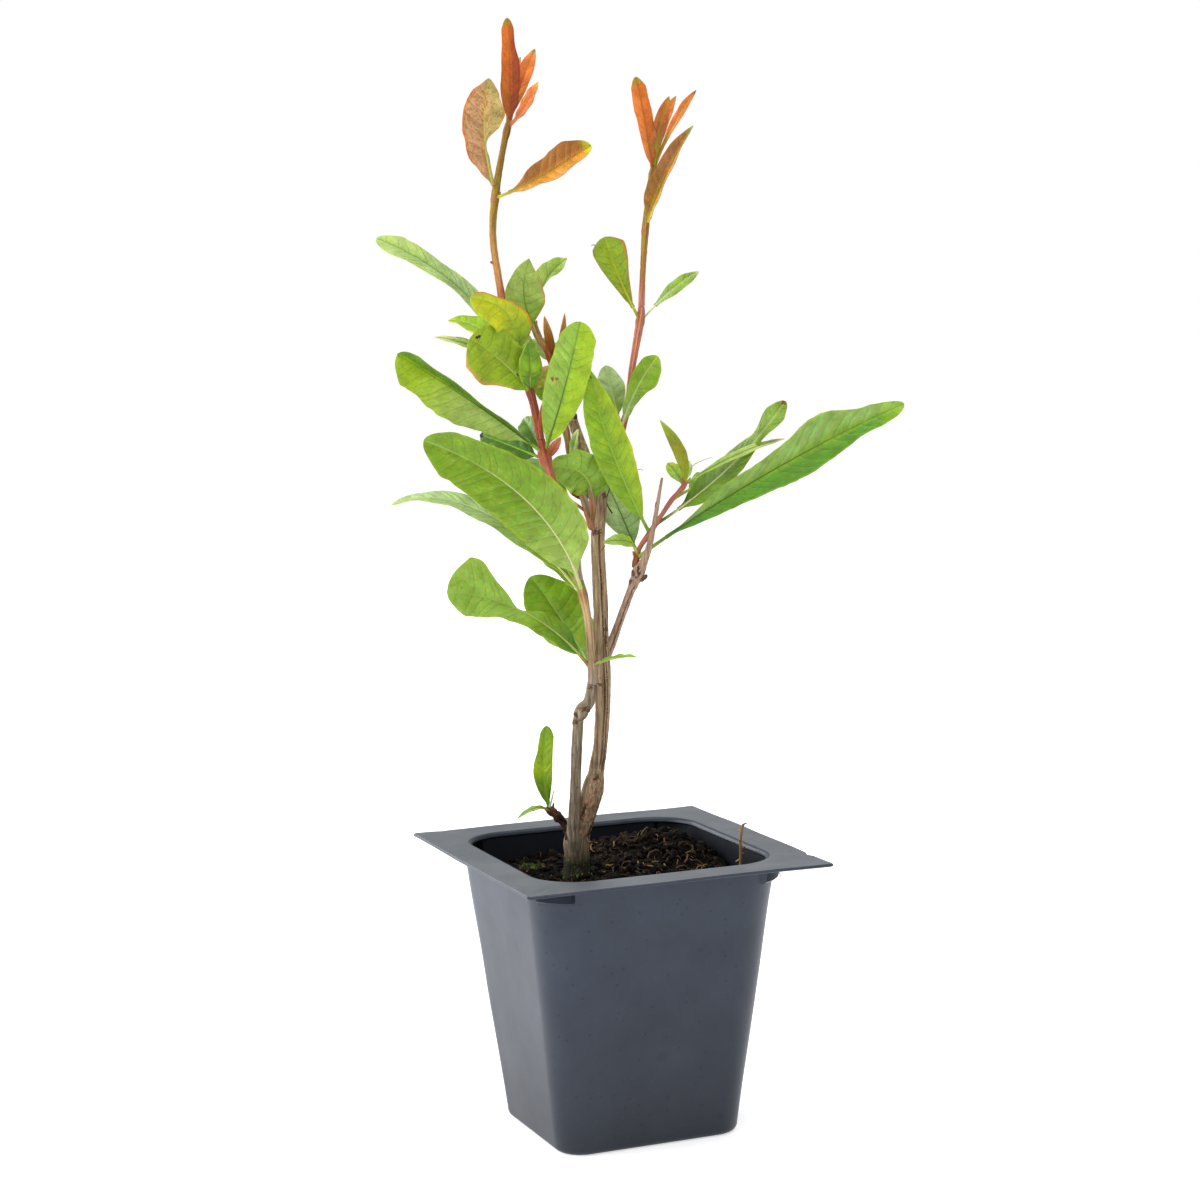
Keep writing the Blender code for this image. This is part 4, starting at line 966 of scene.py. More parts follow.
masses = dict(
    left_low_leaves=dict(
        slot="green_leaf", bark="greyBark lowBark lowBark oliveBark",
        stem=((-5.4, -4.5, 113.3, 1.25), (-5.1, -4.5, 115.6, 1.3), (-5.5, -5.2, 121.0, 1.05),
              (-6.1, -6.0, 129.5, 0.98), (-7.2, -7.0, 135.8, 1.15), (-8.0, -7.5, 139.5, 1.05)),
        knobs=((115.8, 0.2, "greyBark"), (135.4, 0.3, "nodeBrown")),
        leaves=(
            leaf(116.5, (-34.3, -15.0, 22.3), 12.0, (0.2, -1, 0.5), "deepGreen softGreen softGreen",
                 stalk=6.0, bow=0.03, left=(0.3, 0.5, 0.6, 0.62, 0.75, 0.95, 0.95),
                 right=(0.3, 0.5, 0.42, 0.04, 0.55, 1.4, 1.3), sway=-0.10, twist=0, rib="paleGreen",
                 stalkTone="nodeBrown"),
            leaf(117.5, (-15.0, 10.0, 22.0), 14.5, (0.3, -1, 0.3), "softGreen leafGreen leafGreen",
                 stalk=4.0, sway=0, blunt=0.6, rib="mistGreen"),
            leaf(118.0, (10.8, -9.0, 3.4), 3.6, (0, -0.2, 1), "leafGreen softGreen paleGreen", stalk=1.0,
                 widest=0.3),
            leaf(136.0, (-36.6, -24.0, 40.0), 16.5, (0, -1, 0.2), "paleGreen leafGreen leafGreen", bow=0.06,
                 sway=-0.11, stalk=5.0, left=(0.1, 0.62, 0.9, 0.96, 0.92, 0.8, 0.65),
                 right=(0.1, 0.8, 1.0, 0.95, 0.8, 0.62, 0.55), twist=0, rib="cream", stalkTone="paleGreen"),
            leaf(135.5, (-47.8, 20.0, 23.8), 7.4, (0, -0.8, 1), "leafGreen mistGreen mistGreen", bow=0.18,
                 stalk=6.0, left=(0.2, 0.75, 1.0, 0.95, 0.8, 0.6, 0.5, 0.5),
                 right=(0.2, 0.75, 1.0, 0.95, 0.8, 0.6, 0.5, 0.6), curl=0.05, tipTone="leafGreen",
                 rib="cream", stalkTone="paleGreen"),
            leaf(135.0, (-14.0, 33.0, 19.0), 11.0, (0, -0.3, 1), "leafGreen leafGreen softGreen"),
            leaf(117.0, (-8.0, 30.0, 14.0), 10.0, (0, -0.4, 1), "leafGreen leafGreen softGreen"),
        ),
    ),
    left_middle_leaves=dict(
        slot="green_leaf", bark="pinkBark roseBark redBark",
        stem=((-8.1, -7.6, 139.8, 1.1), (-10.1, -9.0, 149.7, 0.98), (-12.8, -10.0, 159.6, 0.95),
              (-14.9, -10.7, 167.3, 1.0), (-15.7, -11.0, 169.8, 1.45), (-16.1, -11.1, 171.6, 1.35),
              (-16.4, -11.2, 173.2, 1.0), (-16.7, -11.3, 174.5, 0.98)),
        knobs=((169.4, 0.5, "redBark"), (171.6, 0.35, "rust")),
        leaves=(
            leaf(171.0, (9.3, -8.0, 31.8), 10.0, (0, -1, 0.1), "softGreen softGreen softGreen", sway=-0.02,
                 stalk=2.5, left=(0.15, 0.5, 0.78, 0.95, 1.0, 0.95, 0.85, 0.75),
                 right=(0.15, 0.5, 0.75, 0.95, 1.0, 1.0, 0.95, 0.95), rib="deepGreen", rightTone="lime",
                 spots=((0.55, 0.48, 0.45, "brown"), (0.53, 0.60, 0.5, "tan"), (0.54, 0.68, 0.4, "brown"))),
            # this leaf's right half is painted shade in the forest tone: that half of the fold faces down,
            # away from the light
            leaf(171.0, (-34.2, -11.0, 25.2), 11.6, (0.1, -1, -0.65), "paleGreen paleGreen lime", sway=-0.03,
                 stalk=5.0, fold=35, left=(0.1, 0.5, 0.75, 0.95, 1.0, 0.85, 0.8),
                 right=(0.1, 0.2, 0.25, 0.35, 0.45, 0.6, 0.8), twist=0, rightTone="forest", rib="forest"),
            leaf(170.5, (-5.6, 16.0, 8.6), 6.0, (-0.4, -1, 0.3), "forest deepGreen leafGreen"),
            leaf(169.5, (-16.3, 9.0, 6.0), 8.4, (0, -1, 0.15), "forest deepGreen deepGreen", rib="softGreen",
                 spots=((0.97, 0.0, 0.8, "black"),)),
        ),
        bracts=(
            leaf(169.5, (3.8, -1.6, 5.6), 2.4, (0.3, -1, 0.1), "rust rose blush"),
        ),
    ),
    left_rosette=dict(
        slot="yellow_leaf", bark="redBark darkRed nodeBrown",
        stem=((-16.8, -11.3, 174.8, 0.98), (-18.8, -12.0, 185.4, 0.95), (-22.0, -12.0, 193.9, 0.95),
              (-23.4, -11.6, 198.5, 0.92)),
        knobs=((186.0, 0.3, "redBark"), (192.0, 0.35, "nodeBrown")),
        leaves=(
            leaf(186.0, (-0.2, -7.0, 12.2), 6.0, (0.2, -1, 0), "deepGreen freshGreen deepGreen", stalk=0.8,
                 leftMargin="lime", rightMargin="olive"),
            leaf(185.8, (-14.0, -8.0, 13.8), 12.5, (0.2, -1, 0.4), "freshGreen oliveGreen oliveGreen",
                 stalk=0.8, left=(0.1, 0.5, 0.9, 1.3, 1.25, 0.9), right=(0.1, 0.55, 0.85, 0.95, 0.95, 0.8),
                 rib="paleGreen", leftMargin="tan", spots=((0.93, -0.25, 0.45, "black"),)),
            leaf(190.0, (-35.9, 14.0, 34.0), 6.4, (0, -1, 0.7), "mistGreen mistGreen paleGreen", bow=0.03,
                 sway=-0.09, left=(0.1, 0.4, 0.5, 0.5, 0.65, 0.9, 1.1),
                 right=(0.1, 0.5, 0.7, 0.85, 0.8, 0.9, 1.0)),
            leaf(194.0, (-10.2, -10.0, 15.0), 9.6, (-0.1, -1, 0.7), "freshGreen yellowGreen yellowGreen",
                 sway=-0.22, stalk=1.5, left=(0.2, 0.7, 1.0, 1.1, 1.0, 0.85, 0.7),
                 right=(0.2, 0.8, 0.9, 0.7, 0.45, 0.4, 0.5), rightMargin="copper", rib="softGreen"),
            leaf(193.0, (-17.3, 9.0, 10.8), 6.2, (0, -0.8, 1), "lime freshGreen lime", bow=0.18, rib="cream",
                 leftMargin="gold", rightMargin="gold", spots=((0.35, -0.5, 0.5, "black"),)),
            leaf(192.0, (-21.0, 7.0, 7.9), 2.8, (0, -0.8, 1), "paleGreen paleGreen cream",
                 rightMargin="copper"),
            leaf(186.0, (5.0, 7.0, 6.2), 5.0, (-0.4, -1, 0), "olive olive tan", stalk=0.8,
                 leftMargin="copper"),
            leaf(186.5, (-6.0, 27.0, 14.0), 9.0, (0, -0.6, 1), "softGreen leafGreen softGreen"),
            leaf(192.0, (-2.0, 22.0, 6.0), 7.0, (0, -0.8, 1), "leafGreen leafGreen softGreen"),
        ),
        bracts=(
            leaf(175.0, (1.2, -1.8, 9.4), 2.6, (0.4, -1, 0), "rose rose blush"),
            leaf(188.5, (-1.6, -2.6, 5.4), 3.0, (0, -1, 0.1), "nodeBrown brown brown", fold=50),
        ),
    ),
    left_crown=dict(
        slot="copper_leaf", bark="roseBark crownBark ochreBark darkCrown",
        stem=((-23.5, -11.5, 198.8, 0.98), (-24.8, -11.0, 203.0, 0.92), (-25.6, -10.0, 209.8, 0.88),
              (-27.3, -8.0, 222.8, 0.82), (-26.7, -6.0, 233.0, 0.95), (-24.6, -4.0, 244.5, 0.75),
              (-23.4, -4.0, 249.5, 0.82), (-22.7, -4.0, 251.6, 0.62)),
        knobs=((232.6, 0.25, "redBark"), (248.8, 0.3, "darkCrown"), (210.0, 0.1, "redBark")),
        leaves=(
            leaf(250.5, (0.4, -2.0, 25.2), 4.4, (0.3, -1, 0), "bronze copper copper", stalk=0.8, sway=0,
                 left=(0.2, 0.75, 1.0, 1.05, 0.95, 0.85, 0.8, 0.75),
                 right=(0.2, 0.8, 1.0, 1.1, 1.05, 0.7, 0.62, 0.6), rib="rust", rightMargin="plum",
                 rightTone="rust", tipTone="olive", wave=0.6),
            leaf(250.7, (6.6, 3.0, 18.0), 3.8, (-0.2, -1, 0), "olive copper apricot", stalk=0.8, widest=0.6,
                 rib="bronze", tipTone="olive", leftMargin="rose"),
            leaf(250.2, (3.1, 8.0, 17.0), 3.4, (-0.5, -1, 0), "bronze apricot apricot", stalk=0.8,
                 widest=0.6, rib="tan", tipTone="olive"),
            leaf(250.0, (7.4, -6.0, 10.2), 3.4, (-0.8, -1, 0.2), "bronze copper apricot", stalk=0.8,
                 widest=0.65, sway=-0.12, rib="rust", tipTone="yellowGreen"),
            leaf(234.2, (-0.8, -8.0, 26.6), 9.0, (-0.1, -1, 0), "bronze tan tan", sway=0.06, stalk=2.0,
                 left=(0.1, 0.5, 0.9, 1.05, 1.15, 1.1, 0.8, 0.3), twist=0,
                 right=(0.1, 0.15, 0.10, 0.12, 0.85, 1.1, 0.75, 0.45), rib="paleGreen", leftTone="rosyTan",
                 rightTone="khaki", tipTone="khaki", leftMargin="copper", rightMargin="tan", speckle=0.34,
                 wave=0.6),
            leaf(232.9, (23.2, -10.0, 11.9), 7.4, (0.1, -1, 0.5), "ochre ochre ochre", stalk=4.0, fold=30,
                 sway=-0.05, widest=0.68, blunt=0.5, twist=0, rib="olive", leftTone="umber",
                 stalkTone="yellowGreen", tipTone="yellowGreen", curl=0.03, wave=0.6),
        ),
    ),
    middle_leaves=dict(
        slot="green_leaf", bark="redBark oliveBark roseBark oliveBark",
        stem=((-4.4, -0.3, 151.6, 1.0), (-7.5, -0.2, 161.9, 0.9), (-9.6, 0.5, 169.0, 0.85),
              (-10.6, 1.0, 175.4, 0.85), (-13.5, 3.0, 191.7, 0.95), (-16.9, 5.0, 198.5, 0.9),
              (-18.5, 5.5, 202.7, 0.8)),
        knobs=((152.6, 0.5, "greyBark"), (191.6, 0.25, "redBark"), (168.6, 0.2, "redBark")),
        leaves=(
            leaf(155.5, (-18.1, 2.0, 14.0), 7.4, (0, -1, 0.35), "leafGreen mistGreen mistGreen", bow=0.1,
                 stalk=6.0, rib="cream", stalkTone="rust"),
            leaf(155.0, (-9.2, -7.5, 12.6), 11.0, (-0.1, -1, 0.4), "leafGreen softGreen softGreen",
                 sway=-0.30, stalk=3.0, blunt=0.5, twist=0, rib="paleGreen", wave=0.9),
            leaf(168.5, (1.9, -5.0, 8.0), 3.2, (-1, -1, 0), "lime leafGreen cream", stalk=0.8),
            leaf(201.0, (-1.0, -3.5, 17.2), 10.2, (0.1, -1, 0.1), "softGreen paleGreen paleGreen", sway=0.12,
                 stalk=1.5, blunt=0.8, widest=0.42, rightMargin="tan", rib="leafGreen"),
            leaf(201.5, (8.4, 8.0, 16.8), 6.4, (0.2, -1, 0.2), "softGreen paleGreen softGreen", sway=0.13,
                 stalk=2.0, left=(0.1, 0.6, 0.9, 1.0, 0.75, 0.25), right=(0.1, 0.2, 0.12, 0.22, 0.5, 0.2),
                 tipTone="cream"),
            leaf(191.5, (-2.0, -2.6, 12.6), 2.3, (0, -1, 0), "bronze bronze tan", stalk=0.8, rib="bronze"),
            leaf(191.5, (3.0, -0.5, 13.2), 1.7, (0.3, -1, 0), "bronze bronze tan", stalk=0.8, rib="bronze"),
            leaf(191.8, (3.9, -4.5, 7.5), 3.0, (0.3, -1, 0), "bronze copper bronze", stalk=0.8, rib="olive"),
            leaf(175.5, (-8.0, 26.0, 14.0), 9.0, (0, -0.6, 1), "leafGreen leafGreen softGreen"),
            leaf(192.0, (-6.0, 24.0, 6.0), 8.5, (0, -0.5, 1), "leafGreen leafGreen softGreen"),
            leaf(161.0, (-10.0, 30.0, 4.0), 9.5, (0, -0.4, 1), "deepGreen leafGreen softGreen"),
        ),
        bracts=(
            leaf(152.8, (-3.2, -3.0, 10.2), 1.9, (0.2, -1, 0), "redBark pinkBark roseBark"),
            leaf(152.6, (-0.6, -3.6, 9.6), 1.7, (0.4, -1, 0), "redBark roseBark pinkBark"),
            leaf(158.5, (-4.6, -2.2, 5.4), 2.2, (-0.2, -1, 0), "rust brown olive"),
            leaf(190.5, (-2.4, -1.6, 6.4), 1.6, (-0.3, -1, 0), "rust rust copper"),
        ),
    ),
    right_high_leaves=dict(
        slot="green_leaf", bark="darkRed redBark roseBark roseBark",
        stem=((-3.0, 1.2, 160.0, 0.82), (0.6, 2.0, 169.6, 0.8), (3.2, 3.0, 176.2, 0.92),
              (4.8, 3.0, 181.9, 0.78), (5.9, 3.0, 190.5, 0.8), (8.1, 3.0, 202.3, 1.0),
              (8.5, 2.9, 206.0, 0.8)),
        knobs=((175.6, 0.25, "redBark"), (202.4, 0.35, "nodeBrown")),
        leaves=(
            leaf(176.0, (-3.6, 10.0, 15.4), 6.8, (0.2, -1, 0.3), "leafGreen mistGreen mistGreen",
                 rib="paleGreen"),
            leaf(175.5, (9.1, -6.0, 18.4), 4.8, (-0.5, -1, 0.2), "mistGreen leafGreen leafGreen", stalk=3.0,
                 sway=0.02, left=(0.3, 0.6, 0.9, 1.1, 1.2, 0.9), right=(0.3, 0.6, 0.8, 1.2, 1.75, 1.5, 1.0),
                 rib="cream", tipTone="lime"),
            leaf(202.6, (-8.4, -6.0, 20.6), 7.6, (0.1, -1, 0.1), "olive oliveGreen oliveGreen", stalk=4.0,
                 left=(0.1, 0.3, 0.5, 0.72, 0.92, 1.05, 0.95), right=(0.1, 0.3, 0.5, 0.75, 1.0, 1.1, 0.9),
                 sway=0.03, rib="yellowGreen", rightMargin="copper", leftMargin="olive"),
            leaf(202.2, (15.1, 9.0, 12.4), 3.5, (0, -1, 0.8), "mistGreen softGreen leafGreen", stalk=6.0,
                 bow=0.02, sway=0.03, widest=0.55, rib="cream", tipTone="cream"),
            leaf(166.5, (-1.0, 24.0, 8.0), 7.0, (0, -0.7, 1), "leafGreen leafGreen softGreen"),
        ),
    ),
    right_crown=dict(
        slot="copper_leaf", bark="roseBark ochreBark ochreBark",
        stem=((8.5, 2.9, 206.3, 0.78), (9.0, 2.5, 215.0, 0.7), (9.7, 2.0, 224.3, 0.85),
              (10.4, 1.5, 231.0, 0.7), (11.4, 1.0, 237.3, 0.75), (12.2, 1.0, 240.4, 0.6)),
        knobs=((224.6, 0.25, "redBark"), (238.6, 0.3, "nodeBrown")),
        leaves=(
            leaf(239.0, (-3.8, -3.0, 22.5), 4.0, (0.2, -1, 0), "bronze copper copper", stalk=0.8, sway=0,
                 left=(0.2, 0.6, 0.85, 1.0, 1.1, 1.1, 1.0, 0.8),
                 right=(0.2, 0.6, 0.9, 1.0, 1.0, 0.95, 0.9, 0.75), rib="bronze", leftTone="apricot",
                 tipTone="olive", wave=0.7),
            leaf(239.5, (4.0, -3.0, 17.2), 3.4, (-0.2, -1, 0), "olive bronze copper", stalk=0.8, widest=0.6,
                 rib="olive", tipTone="olive"),
            leaf(239.8, (5.8, 5.0, 17.5), 3.0, (-0.4, -1, 0), "apricot apricot copper", stalk=0.8,
                 widest=0.6, rib="bronze", tipTone="olive"),
            leaf(239.0, (10.8, 2.0, 19.5), 2.2, (-0.2, -1, 0.3), "olive apricot copper", stalk=0.8,
                 widest=0.7, rib="olive", tipTone="brown"),
            leaf(225.5, (11.6, -9.0, 23.8), 5.2, (-0.9, -1, 0), "yellowGreen tan tan", stalk=1.5, fold=40,
                 widest=0.42, sway=0, rib="olive", leftTone="umber", rightTone="ochre", tipTone="mistGreen"),
        ),
    ),
    right_side_leaves=dict(
        slot="green_leaf", bark="nodeBrown roseBark roseBark",
        stem=((5.8, -0.6, 141.8, 0.85), (6.8, 0.6, 146.0, 0.62), (9.7, 1.8, 150.1, 0.7),
              (11.2, 2.0, 152.3, 0.58), (15.3, 2.0, 158.2, 0.58), (18.1, 2.0, 161.3, 0.64),
              (18.8, 2.0, 163.0, 0.5)),
        knobs=((143.4, 0.35, "brown"), (150.4, 0.25, "redBark"), (161.6, 0.2, "brownBark")),
        leaves=(
            leaf(150.0, (-15.0, -12.0, 42.0), 9.6, (0.1, -1, 0.1), "leafGreen freshGreen freshGreen",
                 stalk=4.5, bow=0.03, sway=0.035, rightTone="lime", rib="softGreen",
                 rightMargin="yellowGreen", spots=((0.965, 0.1, 0.5, "black"), (0.93, -0.3, 0.35, "black"))),
            leaf(145.0, (-7.4, 14.0, 17.0), 9.4, (0.2, -1, 0.2), "greyGreen mistGreen mistGreen", stalk=3.0,
                 rib="forest", dark=1.8),
            leaf(144.5, (-8.2, -11.0, 4.6), 3.8, (0, -1, 0.8), "yellowGreen softGreen paleGreen", bow=0.2,
                 stalk=3.0),
            leaf(144.0, (65.6, -9.0, 37.6), 11.6, (0.1, -1, 0.5), "deepGreen leafGreen leafGreen", stalk=9.0,
                 bow=0.02, sway=0.02, left=(0.05, 0.2, 0.55, 0.55, 0.85, 1.15, 0.6, 0.5),
                 right=(0.1, 0.32, 0.62, 0.78, 1.0, 0.76, 0.5, 0.62), twist=0, rib="forest", leftTone="sage",
                 rightTone="grassGreen", tipTone="softGreen", stalkTone="paleGreen"),
            leaf(152.0, (33.8, 15.0, 29.5), 7.6, (0, -1, 0.5), "forest mistGreen softGreen", stalk=7.0,
                 bow=0, sway=-0.05, left=(0.1, 0.6, 0.9, 0.8, 0.6, 0.4, 0.72, 0.7),
                 right=(0.1, 0.7, 1.0, 0.85, 0.6, 0.4, 0.65, 0.6), rib="cream", rightTone="leafGreen",
                 tipTone="leafGreen", spots=((0.985, 0.0, 0.9, "brown"),)),
            leaf(162.3, (-6.2, -8.0, 16.0), 3.3, (-0.3, -1, 0), "oliveGreen olive oliveGreen", stalk=0.8,
                 sway=-0.11, rib="olive", tipTone="paleGreen"),
            leaf(161.8, (-3.9, 6.0, 5.2), 3.6, (0, -1, 0.4), "softGreen softGreen yellowGreen", stalk=0.8),
            leaf(162.4, (1.2, 5.0, 5.1), 2.8, (0, -1, 0.2), "paleGreen paleGreen cream", stalk=0.8),
            leaf(162.2, (25.9, 15.0, 9.8), 2.6, (0, -0.9, 1), "softGreen paleGreen cream", bow=0.08,
                 stalk=3.0),
            leaf(158.2, (16.0, 24.0, 5.0), 8.0, (0, -0.5, 1), "leafGreen leafGreen softGreen", stalk=8.0),
        ),
    ),
    base_sprout=dict(
        slot="green_leaf", bark="spurBark spurBark spurBark", rough=0.8,
        stem=((-11.6, 1.6, 74.6, 1.0), (-14.0, 0.6, 78.2, 0.9), (-17.0, -1.6, 81.5, 0.8)),
        knobs=((76.0, 0.4, "spurBark"), (78.6, 0.35, "spurBark"), (80.6, 0.25, "nodeBrown")),
        leaves=(
            leaf(80.9, (-0.2, -3.0, 21.9), 4.2, (0.2, -1, 0), "deepGreen lime leafGreen", stalk=1.5,
                 sway=0.07, left=(0.3, 0.7, 1.12, 1.2, 0.85, 0.72, 0.8),
                 right=(0.25, 0.6, 0.95, 1.1, 1.05, 1.0, 0.9), rib="softGreen"),
            leaf(80.7, (-8.3, -6.0, -0.4), 1.8, (0, -0.6, 1), "olive paleGreen mistGreen", bow=0.2,
                 stalk=0.8),
        ),
    ),
)
# thin loose whiskers and buds seen against the white: their points, radius and tone
whiskers = dict(
    left_crown=(((-27.2, -8.4, 217.2), (-28.0, -9.0, 217.6), 0.55, "brown"),),
    right_high_leaves=(
        ((-1.4, -3.0, 220.6), (-3.0, -3.2, 221.3), (-3.6, -3.4, 221.2), 0.16, "brown"),
        ((0.4, 3.2, 155.0), (-1.0, 3.6, 158.0), (0.2, 4.0, 162.0), 0.2, "spurBark"),
    ),
    right_side_leaves=(
        ((18.6, 2.4, 162.6), (20.6, 4.4, 166.4), (25.6, 6.0, 168.4), 0.18, "paleGreen"),
        ((18.6, 2.0, 162.0), (19.2, 1.0, 164.4), (19.0, 0.6, 166.0), 0.3, "yellowGreen"),
        ((-1.6, -12.6, 148.4), (-2.6, -14.6, 147.4), (-3.2, -15.4, 145.6), 0.15, "brown"),
        ((4.4, -2.6, 165.4), (7.6, -3.6, 166.4), (8.2, -3.8, 166.0), 0.14, "leafGreen"),
    ),
    base_sprout=(
        ((-16.6, -2.0, 82.0), (-15.9, -2.4, 84.4), (-15.4, -2.8, 86.4), 0.3, "silver"),
        ((-13.4, 0.0, 78.6), (-14.0, -1.4, 79.8), (-14.6, -1.8, 80.0), 0.6, "spurBark"),
        ((-12.4, 0.4, 76.4), (-11.6, -1.4, 77.4), (-11.2, -2.0, 78.2), 0.6, "spurBark"),
        ((-15.0, -0.8, 79.6), (-15.8, -0.2, 81.6), (-15.6, 0.2, 82.6), 0.5, "brown"),
        ((-12.0, 1.0, 75.2), (-12.6, -0.8, 74.4), (-12.8, -1.4, 73.4), 0.6, "spurBark"),
    ),
    left_rosette=(((-18.9, -12.6, 189.4), (-19.4, -13.8, 191.6), (-20.2, -14.2, 193.4), 0.75, "brown"),),
    middle_leaves=(((-3.4, -0.6, 162.6), (-2.4, -1.8, 164.6), (-1.6, -2.2, 166.6), 0.4, "nodeBrown"),),
)
bladeStyle = dict(
    veinSpacing=3.1,     # between side veins
    veinSweep=0.13,      # how far a side vein runs up the blade
    veinWidth=0.17, veinStray=0.3, veinShade=(0.10, 0.22),
    columns=13,          # from the rib to each edge
    thick=0.30, edgeThick=0.14,
    puff=0.26,           # how far the blade swells between veins
    mottle=0.11, network=0.05, grain=0.02,      # how much the tone varies
    ribDeep=0.16, ribFall=0.5, ribHalf=0.2, ribShows=0.24,
    wave=0.38,
    stagger=0.25,        # how far the side veins of the two halves are apart
    edgeRough=0.05, edgeSpacing=0.45, rootHalf=0.42, tipHalf=0.10,
    # where another tone begins, where it is full and how strong it gets
    side=(0.0, 0.35, 0.8), tip=(0.88, 0.99, 0.9), margin=(0.80, 0.97, 0.8), rim=(0.93, 0.99, 0.45),
)


def edgeHalf(leafShape, share, edge):      # blade width from the rib to one edge
    half = 0.5 * leafShape["width"]
    outline = leafShape.get(edge)
    if not outline:
        power = math.log(0.5) / math.log(leafShape["widest"])
        return half * max(math.sin(math.pi * share ** power), 0.0) ** leafShape["blunt"]
    place = share * (len(outline) - 1)
    low = min(int(place), len(outline) - 2)
    before, after = outline[max(low - 1, 0)], outline[min(low + 2, len(outline) - 1)]
    width = curvePoint(before, outline[low], outline[low + 1], after, place - low)
    rounding = min(1.0, 1.6 * math.sqrt(4.0 * share * (1.0 - share)))
    return half * max(width, 0.02) * rounding


def finishedLeaf(entry, draw):      # what the entry leaves open is drawn by the shoot's seed
    leafShape = dict(
        bow=draw.uniform(0.02, 0.07),
        sway=draw.uniform(-0.03, 0.03),
        fold=draw.uniform(6.0, 14.0),
        twist=draw.uniform(-12.0, 12.0),
        stalk=draw.uniform(2.5, 4.0),
        curl=draw.uniform(0.0, 0.03),
        widest=0.5,
        blunt=0.7,
    )
    leafShape.update(entry)
    warm = {"copper", "apricot", "tan", "bronze", "ochre", "rust", "rose"}
    leafShape["green"] = not warm & set(entry["tones"])
    return leafShape


class Blade:      # the leaf's rib, side and upward directions along its length
    def __init__(self, leafShape, root):
        self.shape = leafShape
        self.root = root
        reach = Vector(leafShape["reach"])
        self.length = reach.length
        self.along = reach.normalized()
        face = Vector(leafShape["face"])
        self.up = (face - self.along * face.dot(self.along)).normalized()
        self.side = self.up.cross(self.along)
        self.stalk = leafShape["stalk"] / self.length

    def at(self, share):
        shape, up, side = self.shape, self.up, self.side
        arch = 4.0 * share * (1.0 - share)
        late = max(share - 0.75, 0.0)
        point = self.root + self.along * (self.length * share)
        point += up * (self.length * (shape["bow"] * arch - shape["curl"] * late * late * 16.0))
        point += side * (self.length * shape["sway"] * arch)
        lean = (up * shape["bow"] + side * shape["sway"]) * (4.0 - 8.0 * share)
        tangent = (self.along + lean - up * (shape["curl"] * 32.0 * late)).normalized()
        across = up.cross(tangent).normalized()
        turn = math.radians(shape["twist"]) * share
        upward = tangent.cross(across)
        return (point, across * math.cos(turn) + upward * math.sin(turn),
                upward * math.cos(turn) - across * math.sin(turn))


def bladeRows(length, draw):      # shares along the blade, each with how far it is between two veins
    veins = int(clamp(round(length / bladeStyle["veinSpacing"]), 3, 16))
    gap = 1.0 / (veins + 1)
    half = min(0.5 * bladeStyle["veinWidth"] / length, 0.18 * gap)
    stray = bladeStyle["veinStray"]
    cuts = [0.0] + [(vein + draw.uniform(-stray, stray)) * gap for vein in range(1, veins + 1)] + [1.0]
    rows = [(0.0, 0.0)]
    for vein in range(veins + 1):
        low = cuts[vein] + (half if vein else 0.0)
        high = cuts[vein + 1] - (half if vein < veins else 0.0)
        if vein:
            rows.append((low, 0.0))
        rows += [(mix(low, high, share), share) for share in (0.15, 0.32, 0.5, 0.68, 0.85)]
        rows.append((high, 1.0))
    return rows, gap


def tinted(tone, name, place, where):      # another tone that fades in over part of the blade
    low, high, strength = bladeStyle[where]
    return blend(tone, channels(name), strength * ease(low, high, place))


def leafLook(leafShape, share, cross, half, veinShade, noisy, net, draw):
    style = bladeStyle
    base, middle, tip = [channels(name) for name in leafShape["tones"]]
    tone = blend(base, middle, share * 2.0) if share < 0.5 else blend(middle, tip, share * 2.0 - 1.0)
    edge = "left" if cross > 0 else "right"
    if edge + "Tone" in leafShape:
        tone = tinted(tone, leafShape[edge + "Tone"], abs(cross), "side")
    if "tipTone" in leafShape:
        tone = tinted(tone, leafShape["tipTone"], share, "tip")
    if edge + "Margin" in leafShape:
        tone = tinted(tone, leafShape[edge + "Margin"], abs(cross), "margin")
    elif leafShape["green"]:      # a fine pale rim
        tone = tinted(tone, "yellowGreen", abs(cross), "rim")
    light = 1.0 + style["mottle"] * noisy - style["network"] * net
    light += draw.uniform(-style["grain"], style["grain"])
    tone = [level * light for level in tone]
    if abs(cross) * half < style["ribShows"]:
        tone = blend(tone, channels(leafShape.get("rib", "forest")), 0.6 * (1.0 - 0.5 * share))
    else:
        tone = [level * (1.0 - veinShade * (1.0 - 0.5 * abs(cross))) for level in tone]
    if "speckle" in leafShape and draw.random() < leafShape["speckle"]:
        tone = blend(tone, channels("brown"), draw.uniform(0.1, 0.45))
    return tone


